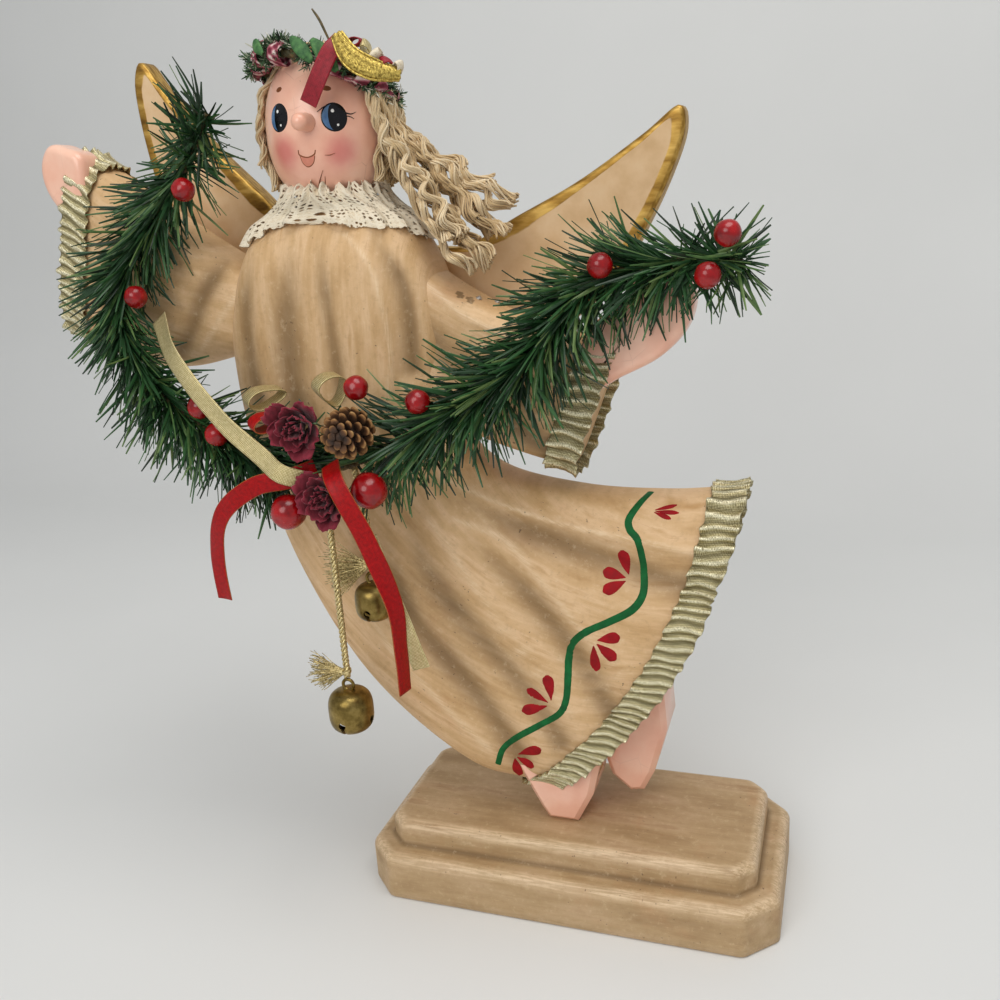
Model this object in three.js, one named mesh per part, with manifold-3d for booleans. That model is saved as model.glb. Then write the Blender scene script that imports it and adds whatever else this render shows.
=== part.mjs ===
// A carved and painted wooden angel that flies over a stepped plinth, holding a pine swag with two bells.
// Millimetres, +Z up, front towards -Y. The origin is the middle of the plinth's underside.
import * as THREE from 'three';
import { mergeVertices } from 'three/addons/utils/BufferGeometryUtils.js';
import Module from 'manifold-3d';

const wasm = await Module();
wasm.setup();

// Clearances
const GAP = 0.3;
const TRIM_GAP = 0.45;

// Plinth
const BASE_LENGTH = 152;
const BASE_WIDTH = 76;
const BASE_HEIGHT = 28;
const LEDGE_HEIGHT = 18;
const LEDGE_INSET = 8;
const CORNER_CLIP = 11;
const EDGE_ROUND = 4;

// Gown, sleeves and wings: depths from the middle plane
const GOWN_FRONT = 22;
const GOWN_BACK = 18;
const GOWN_TOP = 223;
const HEM_BOW = 13;
const FOLD_COUNT = 4;
const FOLD_DEPTH = 1.5;
const SLEEVE_FRONT = 14;
const SLEEVE_BACK = 12;
const WING_THICKNESS = 9;
const WING_LIFT = 20;
const WING_EDGE = 1.5;

// Head
const HEAD_RADIUS = 21;
const HEAD_UP = 27;
const HEAD_DOWN = 25;
const HEAD_X = -77;
const HEAD_Z = GOWN_TOP + HEAD_DOWN - 1;
const NOSE_RADIUS = 2.8;
const NOSE_LENGTH = 7;
const NECK_RADIUS = 6;
const NECK_DEPTH = 14;
const HAIR_THICKNESS = 5;
const LOCK_RADIUS = 3.4;
const LOCK_WAVE = 2;

// Hands, feet and fasteners
const HAND_THICKNESS = 12;
const HAND_EDGE = 2;
const FOOT_THICKNESS = 22;
const FOOT_EDGE = 2;
const FOOT_DOWEL_RADIUS = 3;
const FOOT_DOWEL_LENGTH = 16;
const SCREW_RADIUS = 2;
const SCREW_HEAD_RADIUS = 4;
const SCREW_HEAD_HEIGHT = 2.5;
const SCREW_REACH = 14;
const BRAD_RADIUS = 0.8;
const BRAD_LENGTH = 16;
const BRAD_SINK = 3;

// Gathered trims
const RUFFLE_WIDTH = 12;
const RUFFLE_OVERHANG = 3;
const RUFFLE_THICKNESS = 1.2;
const RUFFLE_SWELL = 0.9;
const HEM_GATHERS = 26;
const CUFF_GATHERS = 18;
const LACE_THICKNESS = 1.2;
const LACE_SWELL = 1.6;
const LACE_WAVES = 15;
const LACE_STAND = 19;
const LACE_CLEAR = 5;

// Garland and crown
const WIRE_RADIUS = 1.6;
const STEM_RADIUS = 0.9;
const NEEDLE_LENGTH = 21;
const NEEDLE_WIDTH = 1.7;
const NEEDLES_PER_SPRAY = 112;
const NEEDLE_FAN = 210;
const NEEDLE_LEAN = 0.75;
const CROWN_NEEDLE_LENGTH = 8;
const CROWN_NEEDLES = 80;
const CROWN_HEIGHT = 16;
const CROWN_TILT = 12;
const CROWN_PUSHED_BACK = 18;
const BERRY_RADIUS = 4;
const LARGE_BERRY_RADIUS = 6;
const ROSE_RADIUS = 8;
const ROSE_DEPTH = 29;
const CONE_RADIUS = 8.5;
const CONE_LENGTH = 15;
const GARLAND_DEPTH = 16;
const RIBBON_WIDTH = 6.4;
const RIBBON_THICKNESS = 0.8;
const BRAID_WIDTH = 4.6;

// Bells
const CORD_RADIUS = 1.3;
const UPPER_BELL_RADIUS = 6.8;
const LOWER_BELL_RADIUS = 8;
const BELL_WALL = 0.8;
const BELL_SLOT = 1.6;
const BELL_LOOP_RADIUS = 2;
const BELL_LOOP_WIRE = 0.6;
const BELL_LOOP_SINK = 0.4;
const BELL_SLOT_REACH = 1.05;
const BELL_SLOT_TOP = 0.3;
const BELL_SQUARENESS = 0.65;
const PELLET_RADIUS = 2;
const SWING_DEGREES = 20;

const deg = THREE.MathUtils.degToRad;
const v3 = (x, y, z) => new THREE.Vector3(x, y, z);
const FULL_TURN = 2 * Math.PI;

// Closed meshes from rings of points, each ring joined to the next
function meshOf(points, faces) {
  const geometry = new THREE.BufferGeometry();
  geometry.setAttribute('position', new THREE.Float32BufferAttribute(points.flatMap((p) => p.toArray()), 3));
  geometry.setIndex(faces.flat());
  if (signedVolume(geometry) < 0) {
    geometry.setIndex(faces.map(([a, b, c]) => [a, c, b]).flat());
  }
  return geometry;
}

function signedVolume(geometry) {
  const place = geometry.getAttribute('position');
  const index = geometry.getIndex();
  const corner = (i) => v3().fromBufferAttribute(place, index.getX(i));
  let sum = 0;
  for (let i = 0; i < index.count; i += 3) {
    sum += corner(i).dot(corner(i + 1).cross(corner(i + 2)));
  }
  return sum / 6;
}

function joinRings(rings, aroundEnds) {
  const size = rings[0].length;
  const faces = [];
  const last = aroundEnds ? rings.length : rings.length - 1;
  for (let r = 0; r < last; r += 1) {
    const here = r * size;
    const next = ((r + 1) % rings.length) * size;
    for (let i = 0; i < size; i += 1) {
      const j = (i + 1) % size;
      faces.push([here + i, here + j, next + j], [here + i, next + j, next + i]);
    }
  }
  return faces;
}

// A cap that zigzags between the two halves of a ring, so that a bowed end stays bowed
function zigzagCap(start, size, flip) {
  const order = [0];
  for (let i = 1; order.length < size; i += 1) {
    order.push(i, size - i);
  }
  const faces = [];
  for (let i = 0; i + 2 < size; i += 1) {
    const [a, b, c] = order.slice(i, i + 3).map((k) => start + k);
    faces.push((i % 2 === 0) === flip ? [a, c, b] : [a, b, c]);
  }
  return faces;
}

function loft(rings) {
  const size = rings[0].length;
  const end = (rings.length - 1) * size;
  const faces = [...joinRings(rings, false), ...zigzagCap(0, size, true), ...zigzagCap(end, size, false)];
  return meshOf(rings.flat(), faces);
}

const hoop = (sections) => meshOf(sections.flat(), joinRings(sections, true));

// Joining and cutting closed solids
function solid(geometry) {
  const bare = geometry.clone();
  bare.deleteAttribute('normal');
  bare.deleteAttribute('uv');
  const merged = mergeVertices(bare, 1e-4);
  return new wasm.Manifold(new wasm.Mesh({
    numProp: 3,
    vertProperties: new Float32Array(merged.getAttribute('position').array),
    triVerts: new Uint32Array(merged.getIndex().array),
  }));
}

function geometryOf(body) {
  const mesh = body.getMesh();
  const geometry = new THREE.BufferGeometry();
  geometry.setAttribute('position', new THREE.BufferAttribute(new Float32Array(mesh.vertProperties), 3));
  geometry.setIndex(new THREE.BufferAttribute(new Uint32Array(mesh.triVerts), 1));
  return geometry;
}

const volumeOf = (body) => Math.abs(signedVolume(geometryOf(body)));
const cut = (body, ...tools) => tools.reduce((left, tool) => left.subtract(tool), body);
const join = (...bodies) => bodies.reduce((all, body) => all.add(body));
const mainBody = (body) => body.decompose().reduce((a, b) => (volumeOf(a) > volumeOf(b) ? a : b));

// Placed primitives
function rod(from, to, radius, sides = 10, tipRadius = radius) {
  const along = to.clone().sub(from);
  const geometry = new THREE.CylinderGeometry(tipRadius, radius, along.length(), sides);
  geometry.applyQuaternion(new THREE.Quaternion().setFromUnitVectors(v3(0, 1, 0), along.clone().normalize()));
  const middle = from.clone().add(to).multiplyScalar(0.5);
  return geometry.translate(middle.x, middle.y, middle.z);
}

function ball(centre, radius, detail = 8) {
  const geometry = new THREE.SphereGeometry(radius, detail, Math.round(detail * 0.7));
  return geometry.translate(centre.x, centre.y, centre.z);
}

function turned(profile, sides) {
  return new THREE.LatheGeometry(profile.map(([r, z]) => new THREE.Vector2(r, z)), sides).rotateX(Math.PI / 2);
}

// A board: an outline in the X-Z plane with a thickness from front to back
function board(outline, front, back, bevel = 0) {
  const depth = back - front - 2 * bevel;
  const geometry = new THREE.ExtrudeGeometry(outline, {
    depth, bevelEnabled: bevel > 0, bevelThickness: bevel, bevelSize: bevel, bevelOffset: -bevel,
    bevelSegments: 1, curveSegments: 6,
  });
  return geometry.rotateX(Math.PI / 2).translate(0, back - bevel, 0);
}

function closedSpline(points, divisions) {
  const curve = new THREE.CatmullRomCurve3(points.map(([x, z]) => v3(x, z, 0)), true, 'catmullrom', 0.5);
  return new THREE.Shape(curve.getPoints(divisions).slice(0, -1).map((p) => new THREE.Vector2(p.x, p.y)));
}

// A carved body between two edge curves in the X-Z plane. grow swells it all round, for fitting cuts.
function carvedRings({ left, right, front, back, bow, fold, power, rows, sides }, grow = 0) {
  const edge = (points) => new THREE.SplineCurve(points.map(([x, z]) => new THREE.Vector2(x, z)));
  const [leftEdge, rightEdge] = [edge(left), edge(right)];
  const rounded = (value) => Math.sign(value) * Math.abs(value) ** (2 / power);
  const rings = [];
  for (let row = 0; row <= rows; row += 1) {
    const t = row / rows;
    const [a, b] = [leftEdge.getPoint(t), rightEdge.getPoint(t)];
    const middle = a.clone().add(b).multiplyScalar(0.5);
    const half = b.clone().sub(a).multiplyScalar(0.5);
    const across = half.clone().normalize();
    const onward = new THREE.Vector2(across.y, -across.x);
    const endGrow = row === 0 ? -grow : row === rows ? grow : 0;
    const ring = [];
    for (let i = 0; i < sides; i += 1) {
      const angle = (i / sides) * FULL_TURN;
      const u = rounded(Math.cos(angle));
      const w = rounded(Math.sin(angle));
      const depth = w < 0 ? -(front(t) + fold(t, u) + grow) * Math.abs(w) : (back(t) + grow) * w;
      const flat = middle.clone().addScaledVector(across, u * (half.length() + grow));
      flat.addScaledVector(onward, bow(t) * (1 - u * u) + endGrow);
      ring.push(v3(flat.x, depth, flat.y));
    }
    rings.push(ring);
  }
  return rings;
}

// The place and outward direction part of the way round a ring
function onRing(ring, share) {
  const spot = share * ring.length;
  const i = Math.floor(spot) % ring.length;
  const j = (i + 1) % ring.length;
  const place = ring[i].clone().lerp(ring[j], spot - Math.floor(spot));
  return { place, along: ring[j].clone().sub(ring[i]).normalize() };
}

// A gathered strip round a ring: pinched at its stitch line, swelling out and in towards its edges
function gathered(ringA, ringB, gathers, { gap, thickness, swell, steps = 2 }) {
  const sections = [];
  const count = gathers * steps;
  for (let k = 0; k < count; k += 1) {
    const share = k / count;
    const a = onRing(ringA, share);
    const b = onRing(ringB, share);
    const down = b.place.clone().sub(a.place);
    const out = down.clone().cross(a.along).normalize();
    const wave = (1 + Math.cos((k / steps) * FULL_TURN)) / 2;
    const layer = (share2, extra) => a.place.clone().addScaledVector(down, share2).addScaledVector(out, extra);
    const top = gap + thickness + swell * wave;
    const pinch = gap + thickness;
    sections.push([
      layer(0, gap), layer(1, gap), layer(1, top), layer(0.4, pinch), layer(0, top),
    ]);
  }
  return hoop(sections);
}

// A flat ribbon through hand-chosen points, with its width along the given directions
function ribbon(points, widths, grow = 0) {
  const line = new THREE.CatmullRomCurve3(points);
  const sides = new THREE.CatmullRomCurve3(widths);
  const steps = 4 * (points.length - 1);
  const rings = [];
  for (let i = 0; i <= steps; i += 1) {
    const t = i / steps;
    const forward = line.getTangent(t);
    const across = sides.getPoint(t);
    across.addScaledVector(forward, -across.dot(forward)).normalize();
    const face = forward.clone().cross(across).normalize();
    const half = across.multiplyScalar(RIBBON_WIDTH / 2 + grow);
    const thick = face.multiplyScalar(RIBBON_THICKNESS / 2 + grow);
    const end = i === 0 ? -grow : i === steps ? grow : 0;
    const centre = line.getPoint(t).addScaledVector(forward, end);
    rings.push([[1, 1], [-1, 1], [-1, -1], [1, -1]].map(([s, f]) => (
      centre.clone().addScaledVector(half, s).addScaledVector(thick, f))));
  }
  return loft(rings);
}

// A tube along a curve, with a radius that may change on the way
function tube(curve, steps, sides, radiusAt) {
  const frames = curve.computeFrenetFrames(steps, false);
  const rings = [];
  for (let i = 0; i <= steps; i += 1) {
    const centre = curve.getPointAt(i / steps);
    rings.push(Array.from({ length: sides }, (_, k) => {
      const angle = (k / sides) * FULL_TURN;
      return centre.clone()
        .addScaledVector(frames.normals[i], Math.cos(angle) * radiusAt(i / steps))
        .addScaledVector(frames.binormals[i], Math.sin(angle) * radiusAt(i / steps));
    }));
  }
  return loft(rings);
}

const needle = (root, tip) => rod(root, tip, NEEDLE_WIDTH / 2, 3, 0);

const part = new THREE.Group();
const figure = new THREE.Group();
figure.position.z = BASE_HEIGHT;
part.add(figure);

function add(group, name, geometry, colour, roughness, metalness = 0) {
  const material = new THREE.MeshStandardMaterial({ color: colour, roughness, metalness });
  const mesh = new THREE.Mesh(geometry, material);
  mesh.name = name;
  group.add(mesh);
  return mesh;
}

const PICKLED_WOOD = 0xd8b896;
const FLESH_PAINT = 0xe8b39d;
const BARE_WOOD = 0xc49a6c;
const STEEL = 0x8a8a88;
const GOLD_LAME = 0xa09468;
const GOLD_PAINT = 0xa87b32;
const LACE_CREAM = 0xe8dcc4;
const YARN_CREAM = 0xe3cfa9;
const PINE_GREEN = 0x1d3d22;
const BERRY_RED = 0xa3161a;
const RIBBON_RED = 0xb8161b;
const RIBBON_GOLD = 0xb3954f;
const ROSE_BURGUNDY = 0x5e1522;
const CONE_BROWN = 0x5a3a20;
const BRASS = 0x6e5a2c;

// Gown: lengths are measured up from the plinth's top
const GOWN_LEFT = [[-96, GOWN_TOP], [-109, 212], [-119, 190], [-121, 172], [-118, 143], [-105, 95], [-80, 49],
  [-43, 17], [-12, 10]];
const GOWN_RIGHT = [[-58, GOWN_TOP], [-46, 213], [-38, 194], [-37, 174], [-39, 150], [-24, 132], [6, 125],
  [36, 124], [60, 126]];
const smooth = (t) => t * t * (3 - 2 * t);
const shoulder = (t) => 0.62 + 0.38 * smooth(Math.min(1, t / 0.2));
const skirtShare = (t) => smooth(Math.max(0, (t - 0.45) / 0.55));
const gownForm = {
  left: GOWN_LEFT,
  right: GOWN_RIGHT,
  front: (t) => GOWN_FRONT * shoulder(t),
  back: (t) => GOWN_BACK * shoulder(t),
  bow: (t) => HEM_BOW * skirtShare(t),
  fold: (t, u) => FOLD_DEPTH * skirtShare(t) * (Math.cos(Math.PI * FOLD_COUNT * u) - 1),
  power: 3,
  rows: 24,
  sides: 26,
};
const gownRings = carvedRings(gownForm);
const gownGrown = solid(loft(carvedRings(gownForm, GAP)));

// Sleeves: left and right are the figure's own
const LEFT_SLEEVE_TOP = [[-58, 214], [-36, 197], [-13, 184], [4, 178], [21, 177]];
const LEFT_SLEEVE_LOW = [[-66, 164], [-46, 152], [-27, 143], [-10, 137], [4, 133]];
const RIGHT_SLEEVE_TOP = [[-92, 198], [-114, 206], [-138, 221], [-158, 235], [-174, 246]];
const RIGHT_SLEEVE_LOW = [[-100, 176], [-120, 173], [-142, 169], [-166, 171], [-190, 183]];
function sleeveForm(top, low) {
  return {
    left: top,
    right: low,
    front: () => SLEEVE_FRONT,
    back: () => SLEEVE_BACK,
    bow: () => 0,
    fold: () => 0,
    power: 3.6,
    rows: 10,
    sides: 20,
  };
}
const leftForm = sleeveForm(LEFT_SLEEVE_LOW, LEFT_SLEEVE_TOP);
const rightForm = sleeveForm(RIGHT_SLEEVE_TOP, RIGHT_SLEEVE_LOW);
const leftRings = carvedRings(leftForm);
const rightRings = carvedRings(rightForm);
const leftGrown = solid(loft(carvedRings(leftForm, GAP)));
const rightGrown = solid(loft(carvedRings(rightForm, GAP)));

// Gathered gold strips round the hem and the cuffs
function ringBack(rings, distance) {
  const last = rings.length - 1;
  return rings[last].map((end, i) => {
    let left = distance;
    let place = end;
    for (let row = last - 1; row >= 0 && left > 0; row -= 1) {
      const step = rings[row][i].clone().sub(place);
      const share = Math.min(1, left / step.length());
      left -= step.length() * share;
      place = place.clone().addScaledVector(step, share);
    }
    return place;
  });
}
function ringOn(rings, distance) {
  const last = rings.length - 1;
  return rings[last].map((end, i) => (
    end.clone().addScaledVector(end.clone().sub(rings[last - 1][i]).normalize(), distance)));
}
function ruffle(rings, gathers, grow = 0) {
  const band = { gap: TRIM_GAP - grow, thickness: RUFFLE_THICKNESS + 2 * grow, swell: RUFFLE_SWELL };
  return gathered(ringBack(rings, RUFFLE_WIDTH - RUFFLE_OVERHANG + grow), ringOn(rings, RUFFLE_OVERHANG + grow),
    gathers, band);
}
const hemRuffleGrown = solid(ruffle(gownRings, HEM_GATHERS, GAP));
const leftCuffGrown = solid(ruffle(leftRings, CUFF_GATHERS, GAP));
const rightCuffGrown = solid(ruffle(rightRings, CUFF_GATHERS, GAP));

// Head
const headCentre = v3(HEAD_X, 0, HEAD_Z);
function headRadiusAt(height, grow = 0) {
  const reach = (height > 0 ? HEAD_UP : HEAD_DOWN) + grow;
  return (HEAD_RADIUS + grow) * Math.sqrt(Math.max(0, 1 - Math.abs(height / reach) ** 2.3));
}
function headGeometry(grow, sides = 20) {
  const rows = 12;
  const profile = [];
  for (let i = 0; i <= rows; i += 1) {
    const turn = (i / rows - 0.5) * Math.PI;
    const height = Math.sin(turn) * ((turn > 0 ? HEAD_UP : HEAD_DOWN) + grow);
    profile.push([i === 0 || i === rows ? 0 : headRadiusAt(height, grow), height]);
  }
  return turned(profile, sides).translate(headCentre.x, headCentre.y, headCentre.z);
}

// Fasteners that run through two pieces
const neckTop = v3(HEAD_X, 0, HEAD_Z - HEAD_DOWN + NECK_DEPTH);
const neckFoot = v3(HEAD_X, 0, GOWN_TOP - NECK_DEPTH);
const neckBore = solid(rod(neckFoot.clone().setZ(neckFoot.z - GAP), neckTop.clone().setZ(neckTop.z + GAP),
  NECK_RADIUS + GAP, 16));
const bradRun = v3(-1, 0, -0.45).normalize();
const BRAD_HEADS = [v3(-22, -5, 192), v3(-18, 2, 190)];
const bradBores = BRAD_HEADS.map((head) => solid(rod(head.clone().addScaledVector(bradRun, -4),
  head.clone().addScaledVector(bradRun, BRAD_LENGTH + GAP), BRAD_RADIUS + GAP, 8)));

// Feet: wedges below the hem, the front one standing on the plinth
const FRONT_FOOT = [[-22, 26], [-11, 5], [-8, GAP], [3, GAP], [9, 12], [14, 34], [6, 50], [-14, 46]];
const REAR_FOOT = [[4, 42], [13, 13], [20, 7], [25, 8], [29, 16], [34, 34], [33, 48], [22, 62]];
const FRONT_FOOT_Y = -GOWN_FRONT + 6;
const REAR_FOOT_Y = FRONT_FOOT_Y + 14;
function footBody(points, front) {
  const outline = new THREE.Shape(points.map(([x, z]) => new THREE.Vector2(x, z)));
  return cut(solid(board(outline, front, front + FOOT_THICKNESS, FOOT_EDGE)), gownGrown, hemRuffleGrown);
}
const hemLeft = new THREE.Vector2(...GOWN_LEFT.at(-1));
const hemAcross = new THREE.Vector2(...GOWN_RIGHT.at(-1)).sub(hemLeft);
const legRun = v3(hemAcross.y, 0, -hemAcross.x).normalize();
function footDowel(hemShare, y, grow) {
  const reach = HEM_BOW * (1 - (2 * hemShare - 1) ** 2);
  const middle = v3(hemLeft.x + hemAcross.x * hemShare, y, hemLeft.y + hemAcross.y * hemShare);
  middle.addScaledVector(legRun, reach);
  const half = FOOT_DOWEL_LENGTH / 2 + grow;
  return rod(middle.clone().addScaledVector(legRun, -half), middle.clone().addScaledVector(legRun, half),
    FOOT_DOWEL_RADIUS + grow, 12);
}
const FRONT_DOWEL = [0.14, FRONT_FOOT_Y + FOOT_DOWEL_RADIUS + 4];
const REAR_DOWEL = [0.36, REAR_FOOT_Y + FOOT_THICKNESS / 2];
const frontDowelBore = solid(footDowel(...FRONT_DOWEL, GAP));
const rearDowelBore = solid(footDowel(...REAR_DOWEL, GAP));

// The screw that holds the figure to the plinth, with its head let into the underside
const screwX = -2.5;
const screwY = FRONT_FOOT_Y + SCREW_HEAD_RADIUS + 3;
function plinthScrew(grow) {
  const head = rod(v3(screwX, screwY, -BASE_HEIGHT + 1 - grow), v3(screwX, screwY, -BASE_HEIGHT + 1
    + SCREW_HEAD_HEIGHT + grow), SCREW_HEAD_RADIUS + grow, 14);
  const shank = rod(v3(screwX, screwY, -BASE_HEIGHT + 2), v3(screwX, screwY, SCREW_REACH / 2 + grow),
    SCREW_RADIUS + grow, 12);
  return join(solid(head), solid(shank));
}
const plinthBore = join(plinthScrew(GAP), solid(rod(v3(screwX, screwY, -BASE_HEIGHT - 1),
  v3(screwX, screwY, -BASE_HEIGHT + 2), SCREW_HEAD_RADIUS + GAP, 14)));

// Wings: one outline, mirrored and lifted for the other side
const WING_OUTLINE = [[-6, -14], [2, 15], [24, 17], [44, 26], [66, 36], [88, 49], [100, 57], [102, 50],
  [98, 38], [90, 22], [80, 6], [64, -9], [40, -22], [12, -27]];
const LEFT_WING_ROOT = v3(-62, 0, 190);
const RIGHT_WING_ROOT = v3(-88, 0, 192);
const wingFront = GOWN_BACK + GAP;
function wingGeometry(side) {
  const outline = closedSpline(WING_OUTLINE.map(([x, z]) => [side * x, z]), 28);
  return board(outline, wingFront, wingFront + WING_THICKNESS, WING_EDGE);
}
function placed(geometry, root, lift) {
  return geometry.rotateY(deg(lift)).translate(root.x, root.y, root.z);
}
function wingScrew(root, grow) {
  const back = wingFront + WING_THICKNESS;
  const head = rod(v3(root.x, back - SCREW_HEAD_HEIGHT - grow, root.z), v3(root.x, back + grow, root.z),
    SCREW_HEAD_RADIUS + grow, 14);
  const tip = back - SCREW_REACH - WING_THICKNESS - grow;
  const shank = rod(v3(root.x, tip, root.z), v3(root.x, back - 1, root.z), SCREW_RADIUS + grow, 12);
  return join(solid(head), solid(shank));
}
const leftWingBore = wingScrew(LEFT_WING_ROOT, GAP);
const rightWingBore = wingScrew(RIGHT_WING_ROOT, GAP);

// Plinth: a clipped rectangle drawn in by steps and rounds
function plinth() {
  const clipShrink = 2 - Math.SQRT2;
  const level = (z, inset) => {
    const [x, y] = [BASE_LENGTH / 2 - inset, BASE_WIDTH / 2 - inset];
    const c = CORNER_CLIP - inset * clipShrink;
    const corners = [[x - c, y], [-x + c, y], [-x, y - c], [-x, -y + c], [-x + c, -y], [x - c, -y], [x, -y + c],
      [x, y - c]];
    return corners.map(([px, py]) => v3(px, py, z));
  };
  const levels = [level(0, 0)];
  for (let i = 0; i <= 3; i += 1) {
    const turn = (i / 3) * (Math.PI / 2);
    levels.push(level(LEDGE_HEIGHT - EDGE_ROUND * (1 - Math.sin(turn)), EDGE_ROUND * (1 - Math.cos(turn))));
  }
  levels.push(level(LEDGE_HEIGHT, LEDGE_INSET));
  for (let i = 0; i <= 3; i += 1) {
    const turn = (i / 3) * (Math.PI / 2);
    levels.push(level(BASE_HEIGHT - EDGE_ROUND * (1 - Math.sin(turn)),
      LEDGE_INSET + EDGE_ROUND * (1 - Math.cos(turn))));
  }
  return loft(levels);
}
const plinthBody = cut(solid(plinth()), plinthBore.translate([0, 0, BASE_HEIGHT]));
add(part, 'base', geometryOf(plinthBody), PICKLED_WOOD, 0.6);
add(figure, 'base_screw', geometryOf(plinthScrew(0)), STEEL, 0.4, 1);

const gownBody = cut(solid(loft(gownRings)), neckBore, frontDowelBore, rearDowelBore, leftWingBore, rightWingBore,
  ...bradBores);
const leftSleeve = mainBody(cut(solid(loft(leftRings)), gownGrown, ...bradBores));
const rightSleeve = mainBody(cut(solid(loft(rightRings)), gownGrown));
add(figure, 'gown', geometryOf(gownBody), PICKLED_WOOD, 0.6);
add(figure, 'left_sleeve', geometryOf(leftSleeve), PICKLED_WOOD, 0.6);
add(figure, 'right_sleeve', geometryOf(rightSleeve), PICKLED_WOOD, 0.6);
BRAD_HEADS.forEach((head, i) => {
  const from = head.clone().addScaledVector(bradRun, BRAD_SINK);
  const to = head.clone().addScaledVector(bradRun, BRAD_LENGTH);
  add(figure, `sleeve_brad_${i + 1}`, rod(from, to, BRAD_RADIUS, 8), STEEL, 0.4, 1);
});

add(figure, 'head', geometryOf(cut(solid(headGeometry(0)), neckBore)), FLESH_PAINT, 0.35);
add(figure, 'neck_dowel', rod(neckFoot, neckTop, NECK_RADIUS, 16), BARE_WOOD, 0.7);
const noseRoot = v3(HEAD_X + 3, -Math.sqrt(headRadiusAt(2) ** 2 - 9), HEAD_Z + 2);
const nosePeg = new THREE.CapsuleGeometry(NOSE_RADIUS, NOSE_LENGTH, 4, 10)
  .translate(noseRoot.x, noseRoot.y - NOSE_LENGTH / 2 + NOSE_RADIUS, noseRoot.z);
const noseBody = cut(solid(nosePeg), solid(headGeometry(GAP)));
add(figure, 'nose', geometryOf(noseBody), FLESH_PAINT, 0.35);

add(figure, 'left_wing', geometryOf(cut(solid(placed(wingGeometry(1), LEFT_WING_ROOT, 0)), leftWingBore)),
  GOLD_PAINT, 0.45, 0.5);
add(figure, 'right_wing', geometryOf(cut(solid(placed(wingGeometry(-1), RIGHT_WING_ROOT, WING_LIFT)),
  rightWingBore)), GOLD_PAINT, 0.45, 0.5);
add(figure, 'left_wing_screw', geometryOf(wingScrew(LEFT_WING_ROOT, 0)), STEEL, 0.4, 1);
add(figure, 'right_wing_screw', geometryOf(wingScrew(RIGHT_WING_ROOT, 0)), STEEL, 0.4, 1);

add(figure, 'front_foot', geometryOf(mainBody(cut(footBody(FRONT_FOOT, FRONT_FOOT_Y), plinthBore,
  frontDowelBore))), FLESH_PAINT, 0.4);
const frontFootGrown = solid(board(new THREE.Shape(FRONT_FOOT.map(([x, z]) => new THREE.Vector2(x, z))),
  FRONT_FOOT_Y - GAP, FRONT_FOOT_Y + FOOT_THICKNESS + GAP));
add(figure, 'rear_foot', geometryOf(mainBody(cut(footBody(REAR_FOOT, REAR_FOOT_Y), frontFootGrown,
  rearDowelBore))), FLESH_PAINT, 0.4);
add(figure, 'front_foot_dowel', footDowel(...FRONT_DOWEL, 0), BARE_WOOD, 0.7);
add(figure, 'rear_foot_dowel', footDowel(...REAR_DOWEL, 0), BARE_WOOD, 0.7);

// Hands: mittens let into the cuffs, flush with the sleeves' fronts
const LEFT_HAND = [[8, 158], [24, 165], [36, 171], [44, 179], [47, 188], [45, 196], [38, 200], [31, 198],
  [25, 190], [12, 178]];
const RIGHT_HAND = [[-170, 244], [-178, 250], [-184, 251], [-188, 247], [-189.5, 241], [-188, 234], [-183, 227],
  [-174, 221]];
const handBack = HAND_THICKNESS - SLEEVE_FRONT;
const handBody = (points, grow) => (
  solid(board(closedSpline(points, 24), -SLEEVE_FRONT - grow, handBack + grow, HAND_EDGE)));
const leftHand = mainBody(cut(handBody(LEFT_HAND, 0), leftGrown, leftCuffGrown));
const rightHand = mainBody(cut(handBody(RIGHT_HAND, 0), rightGrown, rightCuffGrown));
add(figure, 'left_hand', geometryOf(leftHand), FLESH_PAINT, 0.4);
add(figure, 'right_hand', geometryOf(rightHand), FLESH_PAINT, 0.4);

add(figure, 'hem_ruffle', ruffle(gownRings, HEM_GATHERS), GOLD_LAME, 0.4, 0.6);
add(figure, 'left_cuff_ruffle', ruffle(leftRings, CUFF_GATHERS), GOLD_LAME, 0.4, 0.6);
add(figure, 'right_cuff_ruffle', ruffle(rightRings, CUFF_GATHERS), GOLD_LAME, 0.4, 0.6);

// Lace collar: it stands round the chin and falls over the shoulders
const COLLAR_ROW = 3;
const collarLow = carvedRings(gownForm, TRIM_GAP)[COLLAR_ROW];
const collarTop = collarLow.map((_, i) => {
  const angle = (i / collarLow.length) * FULL_TURN;
  const reach = headRadiusAt(-LACE_STAND) + LACE_CLEAR;
  return v3(HEAD_X + reach * Math.cos(angle), reach * Math.sin(angle), HEAD_Z - LACE_STAND);
});
const collar = (grow) => gathered(collarTop, collarLow, LACE_WAVES, {
  gap: -grow, thickness: LACE_THICKNESS + 2 * grow, swell: LACE_SWELL, steps: 3,
});
add(figure, 'lace_collar', collar(0), LACE_CREAM, 0.9);

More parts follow.
